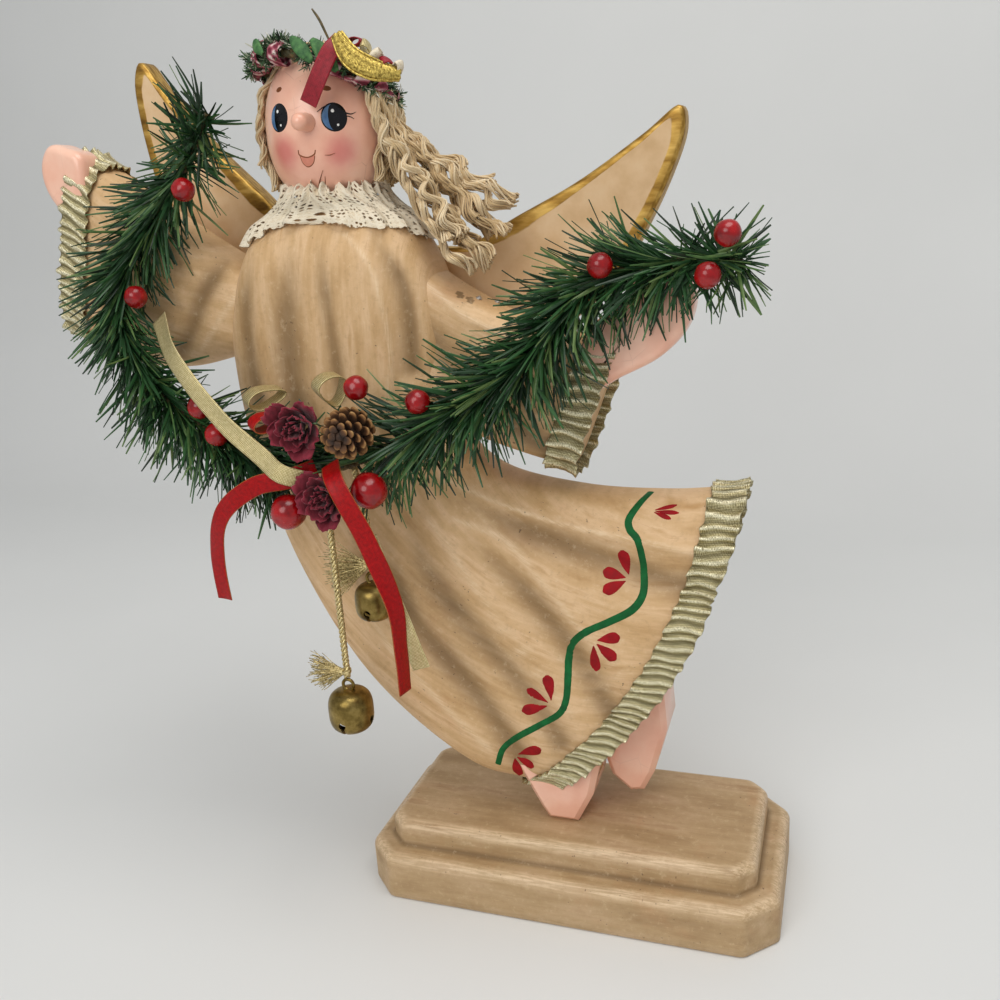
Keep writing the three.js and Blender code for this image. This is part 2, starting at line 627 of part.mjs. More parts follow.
// Yarn hair: a cap on the back of the head and wavy locks at both sides
const headGrown = solid(headGeometry(GAP));
const block = (low, high) => {
  const size = high.clone().sub(low);
  const middle = low.clone().add(high).multiplyScalar(0.5);
  return solid(new THREE.BoxGeometry(size.x, size.y, size.z).translate(middle.x, middle.y, middle.z));
};
const HAIR_LINE = 4;
const capLow = HEAD_Z - LACE_STAND + 2;
const capHigh = HEAD_Z + CROWN_HEIGHT - 10;
function hairCap(grow) {
  const keep = block(v3(HEAD_X - 60, HAIR_LINE - grow, capLow - grow), v3(HEAD_X + 60, 60, capHigh + grow));
  return solid(headGeometry(HAIR_THICKNESS + GAP + grow)).intersect(keep);
}
add(figure, 'hair_back', geometryOf(cut(hairCap(0), headGrown)), YARN_CREAM, 0.95);
function lock(points, radius, grow = 0) {
  const line = new THREE.CatmullRomCurve3(points);
  const steps = 9;
  const wavy = [];
  for (let i = 0; i <= steps; i += 1) {
    const t = i / steps;
    wavy.push(line.getPoint(t).add(v3(LOCK_WAVE * t * Math.sin(t * 3 * FULL_TURN), 0, 0)));
  }
  return solid(tube(new THREE.CatmullRomCurve3(wavy), steps, 5, (t) => radius * (1 - 0.35 * t) + grow));
}
const headSide = HEAD_RADIUS + GAP + LOCK_RADIUS;
const RIGHT_LOCKS = [
  [-8, v3(-44, -9, 228), v3(-31, -10, 208), v3(-20, -10, 197)],
  [-4, v3(-42, -4, 230), v3(-28, -5, 211), v3(-16, -4, 199)],
  [1, v3(-41, 1, 232), v3(-25, 1, 217), v3(-14, 1, 207)],
  [6, v3(-42, 6, 234), v3(-24, 6, 224), v3(-10, 6, 222)],
  [10, v3(-46, 10, 232), v3(-33, 10, 218), v3(-22, 10, 208)],
];
const hairBackGrown = hairCap(GAP);
const collarGrown = solid(collar(GAP));
const rightLocks = (grow) => join(...RIGHT_LOCKS.map(([y, ...rest]) => {
  const out = Math.sqrt(headSide ** 2 - y * y);
  return lock([v3(HEAD_X + out - 2, y, HEAD_Z + 9), v3(HEAD_X + out + 1, y, HEAD_Z - 2), ...rest], LOCK_RADIUS,
    grow);
}));
const hairRight = mainBody(cut(rightLocks(0), headGrown, hairBackGrown, collarGrown, gownGrown, leftGrown));
add(figure, 'hair_right', geometryOf(hairRight), YARN_CREAM, 0.95);
const thinLock = 0.6 * LOCK_RADIUS;
const leftLocks = (grow) => lock([v3(HEAD_X - HEAD_RADIUS - 1, -6, HEAD_Z + 9),
  v3(HEAD_X - HEAD_RADIUS - thinLock, -6, HEAD_Z + 2), v3(HEAD_X - HEAD_RADIUS - thinLock, -6, HEAD_Z - 10)],
thinLock, grow);
const hairLeft = mainBody(cut(leftLocks(0), headGrown, hairBackGrown, collarGrown));
add(figure, 'hair_left', geometryOf(hairLeft), YARN_CREAM, 0.95);

// Crown: a ring of small sprigs on the brow, with a ribbon end and a length of gold braid
const crownCentre = v3(HEAD_X, 0, HEAD_Z + CROWN_HEIGHT);
const crownRadius = headRadiusAt(CROWN_HEIGHT - 5) + GAP + WIRE_RADIUS;
const crownTilt = new THREE.Quaternion().setFromEuler(
  new THREE.Euler(deg(-CROWN_PUSHED_BACK), deg(CROWN_TILT), 0, 'YXZ'));
function onCrown(angle, out, up) {
  const flat = v3(Math.cos(angle) * (crownRadius + out), Math.sin(angle) * (crownRadius + out), up);
  return flat.applyQuaternion(crownTilt).add(crownCentre);
}
function crownRing() {
  const count = 16;
  return hoop(Array.from({ length: count }, (_, i) => {
    const angle = (i / count) * FULL_TURN;
    return Array.from({ length: 5 }, (__, k) => {
      const turn = (k / 5) * FULL_TURN;
      return onCrown(angle, WIRE_RADIUS * Math.cos(turn), WIRE_RADIUS * Math.sin(turn));
    });
  }));
}
const GOLDEN_SHARE = 0.618034;
function crownNeedles() {
  return Array.from({ length: CROWN_NEEDLES }, (_, i) => {
    const angle = (i / CROWN_NEEDLES) * FULL_TURN;
    const rise = deg(-35 + 130 * ((i * GOLDEN_SHARE) % 1));
    const lean = 0.25;
    const [out, up] = [Math.cos(rise) * CROWN_NEEDLE_LENGTH, Math.sin(rise) * CROWN_NEEDLE_LENGTH];
    return solid(needle(onCrown(angle, 0, 0), onCrown(angle + lean, out, up)));
  });
}
const crownFront = -crownRadius - WIRE_RADIUS;
const CROWN_RIBBON = [[18, 3, 25], [15.5, -1, 21], [11.5, -2.5, 14], [6.5, -1.5, 7]];
const crownRibbonLine = CROWN_RIBBON.map(([x, y, z]) => v3(HEAD_X + x, crownFront + y, HEAD_Z + z));
const crownRibbon = (grow) => ribbon(crownRibbonLine, [v3(0.8, 0.3, -0.5), v3(0.8, 0.3, -0.5)], grow);
const BRAID_LINE = [[19, -25, 25.5], [23, -25.5, 19], [29, -24, 15], [36, -19, 13]];
const braidLine = new THREE.CatmullRomCurve3(BRAID_LINE.map(([x, y, z]) => v3(HEAD_X + x, y, HEAD_Z + z)));
const braid = (grow) => tube(braidLine, 8, 8, () => BRAID_WIDTH / 2 + grow);
const crownStem = (to) => solid(rod(onCrown(Math.atan2(to.y, to.x - HEAD_X), 0, 0), to, STEM_RADIUS, 4));
const crownBody = join(solid(crownRing()), ...crownNeedles(), crownStem(crownRibbonLine[1]),
  crownStem(braidLine.getPointAt(0.5)));
const crown = mainBody(cut(crownBody, headGrown, solid(crownRibbon(GAP)), solid(braid(GAP)), hairBackGrown,
  rightLocks(GAP), leftLocks(GAP)));
add(figure, 'crown_wreath', geometryOf(crown), PINE_GREEN, 0.6);
add(figure, 'crown_ribbon', crownRibbon(0), RIBBON_RED, 0.4);
add(figure, 'crown_braid', braid(0), RIBBON_GOLD, 0.4, 0.6);

// Garland: a wired pine swag from the right sleeve, under the bouquet, to the left hand
const swagFront = -GOWN_FRONT - GARLAND_DEPTH;
const restFront = -SLEEVE_FRONT - GAP - WIRE_RADIUS;
const SWAG_LOW = 140;
const SWAG = [
  v3(-112, restFront - 2, 255), v3(-124, restFront, 240), v3(-141, restFront, 223), v3(-153, restFront - 7, 201),
  v3(-151, restFront - 13, 183), v3(-135, swagFront + 5, 163), v3(-111, swagFront + 2, SWAG_LOW + 8),
  v3(-87, swagFront, SWAG_LOW), v3(-66, swagFront, SWAG_LOW), v3(-44, swagFront, SWAG_LOW + 9),
  v3(-23, swagFront + 3, 160), v3(-4, swagFront + 9, 172), v3(8, restFront - 6, 187), v3(20, restFront - 1, 197),
  v3(36, restFront, 199), v3(49, restFront, 201), v3(62, restFront, 199),
];
const swagLine = new THREE.CatmullRomCurve3(SWAG);
const SWAG_MIDDLE = 0.53;
const roseFront = -GOWN_FRONT - ROSE_DEPTH;
const upperRose = v3(-73, roseFront, 156);
const lowerRose = v3(-66, roseFront, 156 - 2 * ROSE_RADIUS - 7);
const pineCone = v3(-73 + ROSE_RADIUS + CONE_RADIUS + 2, roseFront, 155);
const beside = (centre, x, z, distance) => centre.clone().add(v3(x, 0, z).normalize().multiplyScalar(distance));
const berrySpacing = ROSE_RADIUS + LARGE_BERRY_RADIUS + 2 * GAP;
const LARGE_BERRIES = [beside(lowerRose, -1, -0.35, berrySpacing), beside(lowerRose, 1, 0.2, berrySpacing + 2)];
const BERRIES = [[-120.6, 231.5], [-143, 197.4], [-113, 161.5], [-107, 152.5], [-52.5, 168.3], [-33.3, 163.4],
  [21.2, 200.7], [52.7, 196.6], [58.4, 208.1]].map(([x, z]) => (
  closestOn(swagLine, v3(x, 0, z)).setX(x).setZ(z).add(v3(0, -WIRE_RADIUS - BERRY_RADIUS - 4, 0))));

// Bells hang behind the lower rose, the long cord in front of the short one
const UPPER_BELL_X = -62;
const LOWER_BELL_X = -71;
const UPPER_CORD_LENGTH = 38;
const LOWER_CORD_LENGTH = 74.5;
const UPPER_CORD_DEPTHS = [1.5, 4, 6, 6, 6];
const LOWER_CORD_DEPTHS = [-2.6, -3, -3, -3, -3];
function hangingLine(x, top, length, depths) {
  const drop = length / (depths.length - 1);
  return depths.map((depth, i) => v3(x, swagFront + depth, top - drop * i));
}
const upperCordLine = hangingLine(UPPER_BELL_X, SWAG_LOW - 0.4, UPPER_CORD_LENGTH, UPPER_CORD_DEPTHS);
const lowerCordLine = hangingLine(LOWER_BELL_X, SWAG_LOW - 1, LOWER_CORD_LENGTH, LOWER_CORD_DEPTHS);
const cord = (points, steps) => tube(new THREE.CatmullRomCurve3(points), steps, 8, () => CORD_RADIUS);
function swingRoom(points, reach) {
  const top = points[0];
  const half = Math.tan(deg(SWING_DEGREES)) * reach;
  const narrow = CORD_RADIUS + 1;
  const wide = half + 3;
  const corners = [[-narrow, TRIM_GAP], [-wide, -reach], [wide, -reach], [narrow, TRIM_GAP]];
  const outline = new THREE.Shape(corners.map(([x, z]) => new THREE.Vector2(top.x + x, top.z + z)));
  const depths = points.map((p) => p.y);
  const room = CORD_RADIUS + 2 * GAP;
  return solid(board(outline, Math.min(...depths) - room, Math.max(...depths) + room));
}

// Ribbons of the bow
const RIBBONS = {
  red_tail_left: {
    colour: RIBBON_RED,
    line: [v3(lowerRose.x - ROSE_RADIUS - 4, roseFront - 1, lowerRose.z + 6), v3(-90, roseFront - 3, 137),
      v3(-104, roseFront - 2, 127), v3(-110, roseFront, 112), v3(-110, roseFront + 1, 95)],
    widths: [v3(-0.2, 0, 1), v3(-0.4, 0, 1), v3(-0.8, 0.2, 0.6), v3(-1, 0.2, 0), v3(-1, 0.2, 0)],
  },
  red_tail_right: {
    colour: RIBBON_RED,
    line: [v3(-56, roseFront - ROSE_RADIUS, 143), v3(-50, roseFront - 6, 124), v3(-46, roseFront - 1.5, 100),
      v3(-44, roseFront - 1, 82), v3(-44, roseFront - 1, 68)],
    widths: [v3(1, 0.2, 0.4), v3(1, 0.3, 0.3), v3(1, 0.4, 0.1), v3(1, 0.5, 0), v3(1, 0.6, 0)],
  },
  gold_tail: {
    colour: RIBBON_GOLD,
    line: [v3(-49, roseFront + 2.5, 119), v3(-45, roseFront + 2, 104), v3(-41, roseFront + 1.5, 88),
      v3(-38, roseFront + 1.5, 75)],
    widths: [v3(1, 0, 0.3), v3(1, 0, 0.2), v3(1, 0, 0.1), v3(1, 0, 0)],
  },
  gold_span: {
    colour: RIBBON_GOLD,
    line: [v3(-134, restFront - 15, 190), v3(-118, swagFront - 9, 177), v3(-102, swagFront - 12, 159),
      v3(-87, swagFront - 13, 146)],
    widths: [v3(0.6, 0.4, 0.8), v3(0.7, 0, 0.8), v3(0.7, 0, 0.8), v3(0.7, 0, 0.8)],
  },
};
const LOOPS = {
  red_loop: { colour: RIBBON_RED, centre: v3(-86, roseFront + 1, 157.5), radius: 3.2 },
  gold_loop_left: { colour: RIBBON_GOLD, centre: v3(-91, roseFront + 9, 164), radius: 4 },
  gold_loop_right: { colour: RIBBON_GOLD, centre: v3(-63, roseFront + 6, 169), radius: 4 },
};
function bowLoop(centre, radius, grow = 0) {
  const band = RIBBON_THICKNESS / 2 + grow;
  const wide = RIBBON_WIDTH / 2 + grow;
  const ring = [[radius - band, -wide], [radius + band, -wide], [radius + band, wide], [radius - band, wide],
    [radius - band, -wide]];
  return new THREE.LatheGeometry(ring.map(([r, z]) => new THREE.Vector2(r, z)), 14).scale(1.2, 1, 0.8)
    .rotateZ(deg(50)).rotateX(deg(15)).translate(centre.x, centre.y, centre.z);
}
const ribbonsGrown = Object.values(RIBBONS).map(({ line, widths }) => solid(ribbon(line, widths, GAP)));
const loopsGrown = Object.values(LOOPS).map(({ centre, radius }) => solid(bowLoop(centre, radius, GAP)));

const rose = (centre, grow) => ball(centre, ROSE_RADIUS + grow, 12);
const coneProfile = (grow) => {
  const half = CONE_LENGTH / 2 + grow;
  const rows = 5;
  const profile = [[0, -half]];
  for (let i = 0; i < rows; i += 1) {
    const z = -half + ((i + 0.5) / rows) * 2 * half;
    const reach = (CONE_RADIUS + grow) * Math.sqrt(1 - (z / (half + 1)) ** 2);
    profile.push([0.82 * reach, z - half / rows + 0.2], [reach, z]);
  }
  profile.push([0, half]);
  return profile;
};
const cone = (grow) => (
  turned(coneProfile(grow), 10).rotateX(Math.PI / 2).translate(pineCone.x, pineCone.y, pineCone.z));

// Needles fan over the front of the wire, leaning onward, and are cut to clear what they lie among
function spray(from, to, count, seats) {
  const coreSteps = 16;
  const line = new THREE.CatmullRomCurve3(Array.from({ length: coreSteps + 1 }, (_, i) => (
    swagLine.getPointAt(from + (to - from) * (i / coreSteps)))));
  const bodies = [solid(tube(line, coreSteps, 5, () => WIRE_RADIUS))];
  for (let i = 0; i < count; i += 1) {
    const t = (i + 0.5) / count;
    const forward = line.getTangentAt(t);
    const out = v3(0, -1, 0).addScaledVector(forward, forward.y).normalize();
    const aside = forward.clone().cross(out).normalize();
    const fan = deg(NEEDLE_FAN * (((i * GOLDEN_SHARE) % 1) - 0.5));
    const reach = NEEDLE_LENGTH * (0.8 + 0.2 * Math.sin(i * 1.7));
    const way = out.clone().multiplyScalar(Math.cos(fan)).addScaledVector(aside, Math.sin(fan));
    way.addScaledVector(forward, from < to ? NEEDLE_LEAN : -NEEDLE_LEAN).normalize();
    const root = line.getPointAt(t);
    bodies.push(solid(needle(root, root.clone().addScaledVector(way, reach))));
  }
  seats.forEach((seat) => {
    const near = closestOn(line, seat);
    bodies.push(solid(rod(near, seat, STEM_RADIUS, 4)));
  });
  return wasm.Manifold.union(bodies);
}
function closestOn(line, point) {
  const tries = line.getPoints(120);
  return tries.reduce((best, p) => (p.distanceTo(point) < best.distanceTo(point) ? p : best));
}
const fruitGrown = [...BERRIES.map((centre) => solid(ball(centre, BERRY_RADIUS + GAP))),
  ...LARGE_BERRIES.map((centre) => solid(ball(centre, LARGE_BERRY_RADIUS + GAP))),
  solid(rose(upperRose, GAP)), solid(rose(lowerRose, GAP)), solid(cone(GAP))];
const bowGrown = [...ribbonsGrown, ...loopsGrown, swingRoom(upperCordLine, 40), swingRoom(lowerCordLine, 40)];
const leftSeats = [...BERRIES.slice(0, 4), LARGE_BERRIES[0], upperRose, lowerRose, LOOPS.red_loop.centre,
  LOOPS.gold_loop_left.centre, RIBBONS.gold_span.line[0]];
const rightSeats = [...BERRIES.slice(4), LARGE_BERRIES[1], lowerRose, pineCone, LOOPS.gold_loop_right.centre];
const swagLeft = cut(spray(0, SWAG_MIDDLE - 0.002, NEEDLES_PER_SPRAY, leftSeats), gownGrown, rightGrown,
  collarGrown, rightCuffGrown, handBody(RIGHT_HAND, GAP), ...fruitGrown, ...bowGrown);
const swagRight = cut(spray(1, SWAG_MIDDLE + 0.002, NEEDLES_PER_SPRAY, rightSeats), gownGrown, leftGrown,
  leftCuffGrown, handBody(LEFT_HAND, GAP), ...fruitGrown, ...bowGrown);
const garlandLeft = mainBody(swagLeft);
const garlandRight = mainBody(cut(swagRight, garlandLeft));
add(figure, 'garland_left', geometryOf(garlandLeft), PINE_GREEN, 0.55);
add(figure, 'garland_right', geometryOf(garlandRight), PINE_GREEN, 0.55);

BERRIES.forEach((centre, i) => add(figure, `berry_${i + 1}`, ball(centre, BERRY_RADIUS), BERRY_RED, 0.2));
LARGE_BERRIES.forEach((centre, i) => (
  add(figure, `large_berry_${i + 1}`, ball(centre, LARGE_BERRY_RADIUS), BERRY_RED, 0.2)));
add(figure, 'upper_rose', rose(upperRose, 0), ROSE_BURGUNDY, 0.85);
add(figure, 'lower_rose', rose(lowerRose, 0), ROSE_BURGUNDY, 0.85);
add(figure, 'pinecone', cone(0), CONE_BROWN, 0.8);
Object.entries(RIBBONS).forEach(([name, { colour, line, widths }]) => (
  add(figure, name, ribbon(line, widths), colour, 0.4)));
Object.entries(LOOPS).forEach(([name, { colour, centre, radius }]) => (
  add(figure, name, bowLoop(centre, radius), colour, 0.4)));

// Bells: slotted shells with a wire loop, each with a loose pellet
function bell(radius) {
  const rows = 6;
  const arc = (r) => Array.from({ length: rows + 1 }, (_, i) => {
    const turn = (i / rows - 0.5) * Math.PI;
    const squared = (x) => r * Math.sign(x) * Math.abs(x) ** BELL_SQUARENESS;
    return [i === 0 || i === rows ? 0 : squared(Math.cos(turn)), squared(Math.sin(turn))];
  });
  const slot = (halfX, halfY) => block(v3(-halfX, -halfY, -radius - 1), v3(halfX, halfY, -radius * BELL_SLOT_TOP));
  const long = radius * BELL_SLOT_REACH;
  const narrow = BELL_SLOT / 2;
  const loop = new THREE.TorusGeometry(BELL_LOOP_RADIUS, BELL_LOOP_WIRE, 5, 10).rotateX(Math.PI / 2)
    .translate(0, 0, radius + BELL_LOOP_RADIUS - BELL_LOOP_SINK);
  const hollow = solid(turned(arc(radius - BELL_WALL), 12));
  const shell = cut(solid(turned(arc(radius), 12)), hollow, slot(long, narrow), slot(narrow, long));
  return join(shell, cut(solid(loop), hollow));
}
function hang(name, line, steps, radius) {
  const end = line[line.length - 1];
  const loopHeight = 2 * BELL_LOOP_RADIUS + BELL_LOOP_WIRE - BELL_LOOP_SINK;
  const centre = v3(end.x, end.y, end.z - GAP - loopHeight - radius);
  add(figure, `${name}_bell_cord`, cord(line, steps), RIBBON_GOLD, 0.6, 0.3);
  add(figure, `${name}_bell`, geometryOf(bell(radius)), BRASS, 0.4, 0.9).position.copy(centre);
  const rest = -radius + BELL_WALL + PELLET_RADIUS + GAP;
  add(figure, `${name}_pellet`, ball(v3(0, 0, rest), PELLET_RADIUS, 8), STEEL, 0.4, 1).position.copy(centre);
}
hang('upper', upperCordLine, 8, UPPER_BELL_RADIUS);
hang('lower', lowerCordLine, 14, LOWER_BELL_RADIUS);

export default part;
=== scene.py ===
# %% [markdown]
# A carved wooden angel flies over a stepped plinth, holding a pine swag with a bow and two bells. The packed
# solids are the fixed frame. Every piece made here is in metres in that frame, rides on one of its bodies,
# and stands for the solid whose place it takes. Sizes below are in millimetres, measured up from the
# plinth's top as the carver would, and one function turns them into metres.

# %% Load the frame
import math
import bmesh
import bpy
import numpy as np
from mathutils import Matrix, Vector
from mathutils.bvhtree import BVHTree


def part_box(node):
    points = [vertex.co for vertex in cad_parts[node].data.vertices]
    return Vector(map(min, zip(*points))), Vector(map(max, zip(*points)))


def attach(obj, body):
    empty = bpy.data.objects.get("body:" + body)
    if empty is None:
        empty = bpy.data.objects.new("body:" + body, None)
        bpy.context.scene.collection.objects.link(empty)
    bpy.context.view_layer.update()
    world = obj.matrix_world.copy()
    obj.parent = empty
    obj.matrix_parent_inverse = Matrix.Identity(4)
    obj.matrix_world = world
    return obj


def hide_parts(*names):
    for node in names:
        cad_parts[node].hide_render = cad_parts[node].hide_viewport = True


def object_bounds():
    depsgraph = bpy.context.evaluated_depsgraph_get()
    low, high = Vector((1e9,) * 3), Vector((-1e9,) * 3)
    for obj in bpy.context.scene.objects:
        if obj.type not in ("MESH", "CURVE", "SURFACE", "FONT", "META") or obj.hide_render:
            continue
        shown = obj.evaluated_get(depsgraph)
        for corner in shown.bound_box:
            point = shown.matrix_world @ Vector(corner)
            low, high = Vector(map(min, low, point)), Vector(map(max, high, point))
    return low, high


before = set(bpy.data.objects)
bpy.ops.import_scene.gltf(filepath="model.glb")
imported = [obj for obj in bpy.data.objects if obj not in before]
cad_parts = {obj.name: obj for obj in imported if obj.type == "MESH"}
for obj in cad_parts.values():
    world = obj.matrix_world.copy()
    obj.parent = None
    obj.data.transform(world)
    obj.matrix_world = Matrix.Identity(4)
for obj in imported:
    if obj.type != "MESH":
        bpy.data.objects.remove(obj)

solids_box = [list(corner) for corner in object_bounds()]
MM = 0.001
FULL_TURN = 6.28
PLINTH_TOP = 28.0

# %% [markdown]
# Shader maths and geometry trees are both node trees. One small class wraps a socket, so that sums are
# written as sums, and another makes any node from its type, its settings and what goes into its sockets.

# %% Sockets that do sums, and one way to make a node
class Wire:
    def __init__(self, bench, socket):
        self.bench = bench
        self.socket = socket

    def sum(self, operation, first, second=0.0):
        return self.bench.make("ShaderNodeMath", {"operation": operation}, {0: first, 1: second})

    def __add__(self, other):
        return self.sum("ADD", self, other)

    def __radd__(self, other):
        return self.sum("ADD", other, self)

    def __sub__(self, other):
        return self.sum("SUBTRACT", self, other)

    def __rsub__(self, other):
        return self.sum("SUBTRACT", other, self)

    def __mul__(self, other):
        return self.sum("MULTIPLY", self, other)

    def __rmul__(self, other):
        return self.sum("MULTIPLY", other, self)

    def __abs__(self):
        return self.sum("ABSOLUTE", self)

    def wave(self):
        return self.sum("SINE", self)

    def clear(self, low, high):
        return self.bench.make("ShaderNodeMapRange", {"interpolation_type": "SMOOTHSTEP"},
                               {"Value": self, "From Min": low, "From Max": high})


class Bench:
    def __init__(self, tree):
        self.tree = tree
        self.count = 0

    def make(self, kind, settings=None, sockets=None, out=0):
        node = self.tree.nodes.new(kind)
        node.location = (180 * (self.count % 12), -220 * (self.count // 12))
        self.count += 1
        for name, value in (settings or {}).items():
            if name == "stops":
                fill_ramp(node.color_ramp, value)
            else:
                setattr(node, name, value)
        for name, value in (sockets or {}).items():
            if isinstance(value, Wire):
                self.tree.links.new(value.socket, node.inputs[name])
            else:
                node.inputs[name].default_value = value
        return Wire(self, node.outputs[out]) if len(node.outputs) else node


def paint(red, green, blue):
    """A colour as a painter reads it off a chart, 0 to 255, turned to linear light."""
    def linear(value):
        value = value / 255
        return value / 12.92 if value <= 0.04045 else ((value + 0.055) / 1.055) ** 2.4
    return (linear(red), linear(green), linear(blue), 1.0)


def fill_ramp(ramp, stops):
    """Each stop is its place on the ramp and a painter's colour."""
    while len(ramp.elements) < len(stops):
        ramp.elements.new(1.0)
    for element, (place, *colour) in zip(ramp.elements, stops):
        element.position = place
        element.color = paint(*colour)


class Finish(Bench):
    """A material with one Principled shader, and the few textures that all the finishes share."""
    def __init__(self, name, roughness=0.5, metallic=0.0, **constants):
        self.material = bpy.data.materials.new(name)
        self.material.use_nodes = True
        super().__init__(self.material.node_tree)
        self.shader = next(n for n in self.tree.nodes if n.type == "BSDF_PRINCIPLED")
        self.set("Roughness", roughness)
        self.set("Metallic", metallic)
        for name, value in constants.items():
            self.set(name.replace("_", " "), value)

    def set(self, name, value):
        if isinstance(value, Wire):
            self.tree.links.new(value.socket, self.shader.inputs[name])
        else:
            self.shader.inputs[name].default_value = value

    def place(self, turn=(0, 0, 0), stretch=(1, 1, 1)):
        spot = self.make("ShaderNodeTexCoord", out="Object")
        return self.make("ShaderNodeMapping", {}, {"Vector": spot, "Rotation": turn, "Scale": stretch})

    def uv(self):
        return self.make("ShaderNodeTexCoord", out="UV")

    def own(self, attribute):
        return self.make("ShaderNodeAttribute", {"attribute_name": attribute}, out="Fac")

    def noise(self, where, scale, detail=3.0, roughness=0.55):
        return self.make("ShaderNodeTexNoise", {}, {"Vector": where, "Scale": scale, "Detail": detail,
                                                   "Roughness": roughness})

    def grain(self, *look):
        return self.noise(self.place(), *look)

    def stretched(self, where, scale):
        return self.make("ShaderNodeMapping", {}, {"Vector": where, "Scale": scale})

    def bands(self, where, way, scale, distortion, detail_scale):
        return self.make("ShaderNodeTexWave", {"wave_type": "BANDS", "bands_direction": way},
                         {"Vector": where, "Scale": scale, "Distortion": distortion, "Detail": 1,
                          "Detail Scale": detail_scale})

    def ramp(self, value, *stops):
        return self.make("ShaderNodeValToRGB", {"stops": stops}, {"Fac": value})

    def coloured(self, value, *stops):
        self.set("Base Color", self.ramp(value, *stops))

    def toned(self, value, stops, strength, distance=0.0004):
        """Colours the finish by one texture, which is also its relief."""
        self.coloured(value, *stops)
        self.bump(value, strength, distance)

    def mix(self, share, first, second):
        return self.make("ShaderNodeMix", {"data_type": "RGBA"}, {0: share, 6: first, 7: second}, 2)

    def bump(self, height, strength, distance):
        self.set("Normal", self.make("ShaderNodeBump", {}, {"Height": height, "Strength": strength,
                                                           "Distance": distance}, "Normal"))


print("node helpers ready")

# %% [markdown]
# Most pieces here follow a rule: rings along a carved board, a strip round an edge, a line of cord. They are
# worked out as grids of points with numpy, which is quick and exact, and turned into a mesh in one go.

# %% Points, grids and pieces
def to_metres(points):
    return (np.asarray(points, float) + (0, 0, PLINTH_TOP)) * MM


def distances(line):
    """How far along a line each of its points is."""
    return np.concatenate([[0], np.cumsum(np.linalg.norm(np.diff(line, axis=0), axis=1))])


def round_turn(count):
    return np.arange(count) * 2 * math.pi / count


def even(line, count):
    """The same line with its points spread evenly."""
    line = np.asarray(line, float)
    along = distances(line)
    wanted = np.linspace(0, along[-1], count)
    return np.stack([np.interp(wanted, along, line[:, k]) for k in range(line.shape[1])], 1)


def between(a, b, c, d, t):
    """A smooth step from b to c that heads in from a and on to d."""
    return 0.5 * (2 * b + (c - a) * t + (2 * a - 5 * b + 4 * c - d) * t ** 2 + (3 * b - a - 3 * c + d) * t ** 3)


def smooth_line(points, count, closed=False):
    """A smooth line through given points."""
    p = np.asarray(points, float)
    p = np.vstack([p[-1], p, p[0], p[1]]) if closed else np.vstack([2 * p[0] - p[1], p, 2 * p[-1] - p[-2]])
    t = np.linspace(0, 1, 24, endpoint=False)[:, None]
    runs = np.vstack([between(*four, t) for four in zip(p, p[1:], p[2:], p[3:])] + [p[-2][None]])
    return even(runs, count + 1)[:-1] if closed else even(runs, count)


def unit(v):
    v = np.asarray(v, float)
    return v / np.maximum(np.linalg.norm(v, axis=-1, keepdims=True), 1e-9)


def sides_of(line):
    """Two directions across a line that turn as little as they can along it."""
    tangent = unit(np.gradient(line, axis=0))
    side = unit(np.cross(tangent[0], np.cross((0, 1, 0), tangent[0])))
    sides = []
    for t in tangent:
        side = unit(side - t * side.dot(t))
        sides.append(side)
    sides = np.array(sides)
    return sides, np.cross(tangent, sides)


def grid(rows, cols, around=False):
    """Faces of rows of points, each joined to the next. around closes each row."""
    r, c = np.meshgrid(np.arange(rows - 1), np.arange(cols if around else cols - 1), indexing="ij")
    r2, c2 = r + 1, (c + 1) % cols
    quads = np.stack([r * cols + c, r * cols + c2, r2 * cols + c2, r2 * cols + c], -1)
    return quads.reshape(-1, 4).tolist()


def capped(rows, sides):
    """Faces of rings of points, with a flat face over each end."""
    last = (rows - 1) * sides
    return grid(rows, sides, around=True) + [list(range(sides))[::-1], list(range(last, last + sides))]


def faces_of(rings):
    return capped(*rings.shape[:2])


def shares(rows, cols):
    """Shares up and across a sheet, to work out its points from."""
    return np.linspace(0, 1, rows)[:, None], np.linspace(-1, 1, cols)[None]


class Stock:
    """Points and faces gathered for one piece."""
    def __init__(self):
        self.points = []
        self.faces = []
        self.marks = {}

    def add(self, points, faces, **marks):
        start = sum(len(p) for p in self.points)
        points = np.asarray(points, float).reshape(-1, 3)
        self.points.append(points)
        self.faces += [[i + start for i in face] for face in faces]
        for name, value in marks.items():
            self.marks.setdefault(name, []).append(np.broadcast_to(value, len(points)))

    def tube(self, line, radius, sides):
        a, b = sides_of(line)
        turn = round_turn(sides)
        radius = np.broadcast_to(radius, len(line))[:, None, None]
        rings = line[:, None] + radius * (np.cos(turn)[None, :, None] * a[:, None]
                                          + np.sin(turn)[None, :, None] * b[:, None])
        self.add(rings, faces_of(rings))

    def sheet(self, points, thickness, **marks):
        """A patch of cloth, petal or leaf with its own thickness, marked alike on both faces."""
        shell, faces = strip_shell(points, False, thickness)
        self.add(shell, faces, **{name: np.tile(np.broadcast_to(value, points.shape[:2]).ravel(), 2)
                                  for name, value in marks.items()})


def mark_points(mesh, marks):
    """Writes numbers on a mesh's points, for its finish or a geometry tree to read."""
    for mark, values in marks.items():
        layer = mesh.attributes.new(mark, "FLOAT", "POINT")
        layer.data.foreach_set("value", np.asarray(values, np.float32))


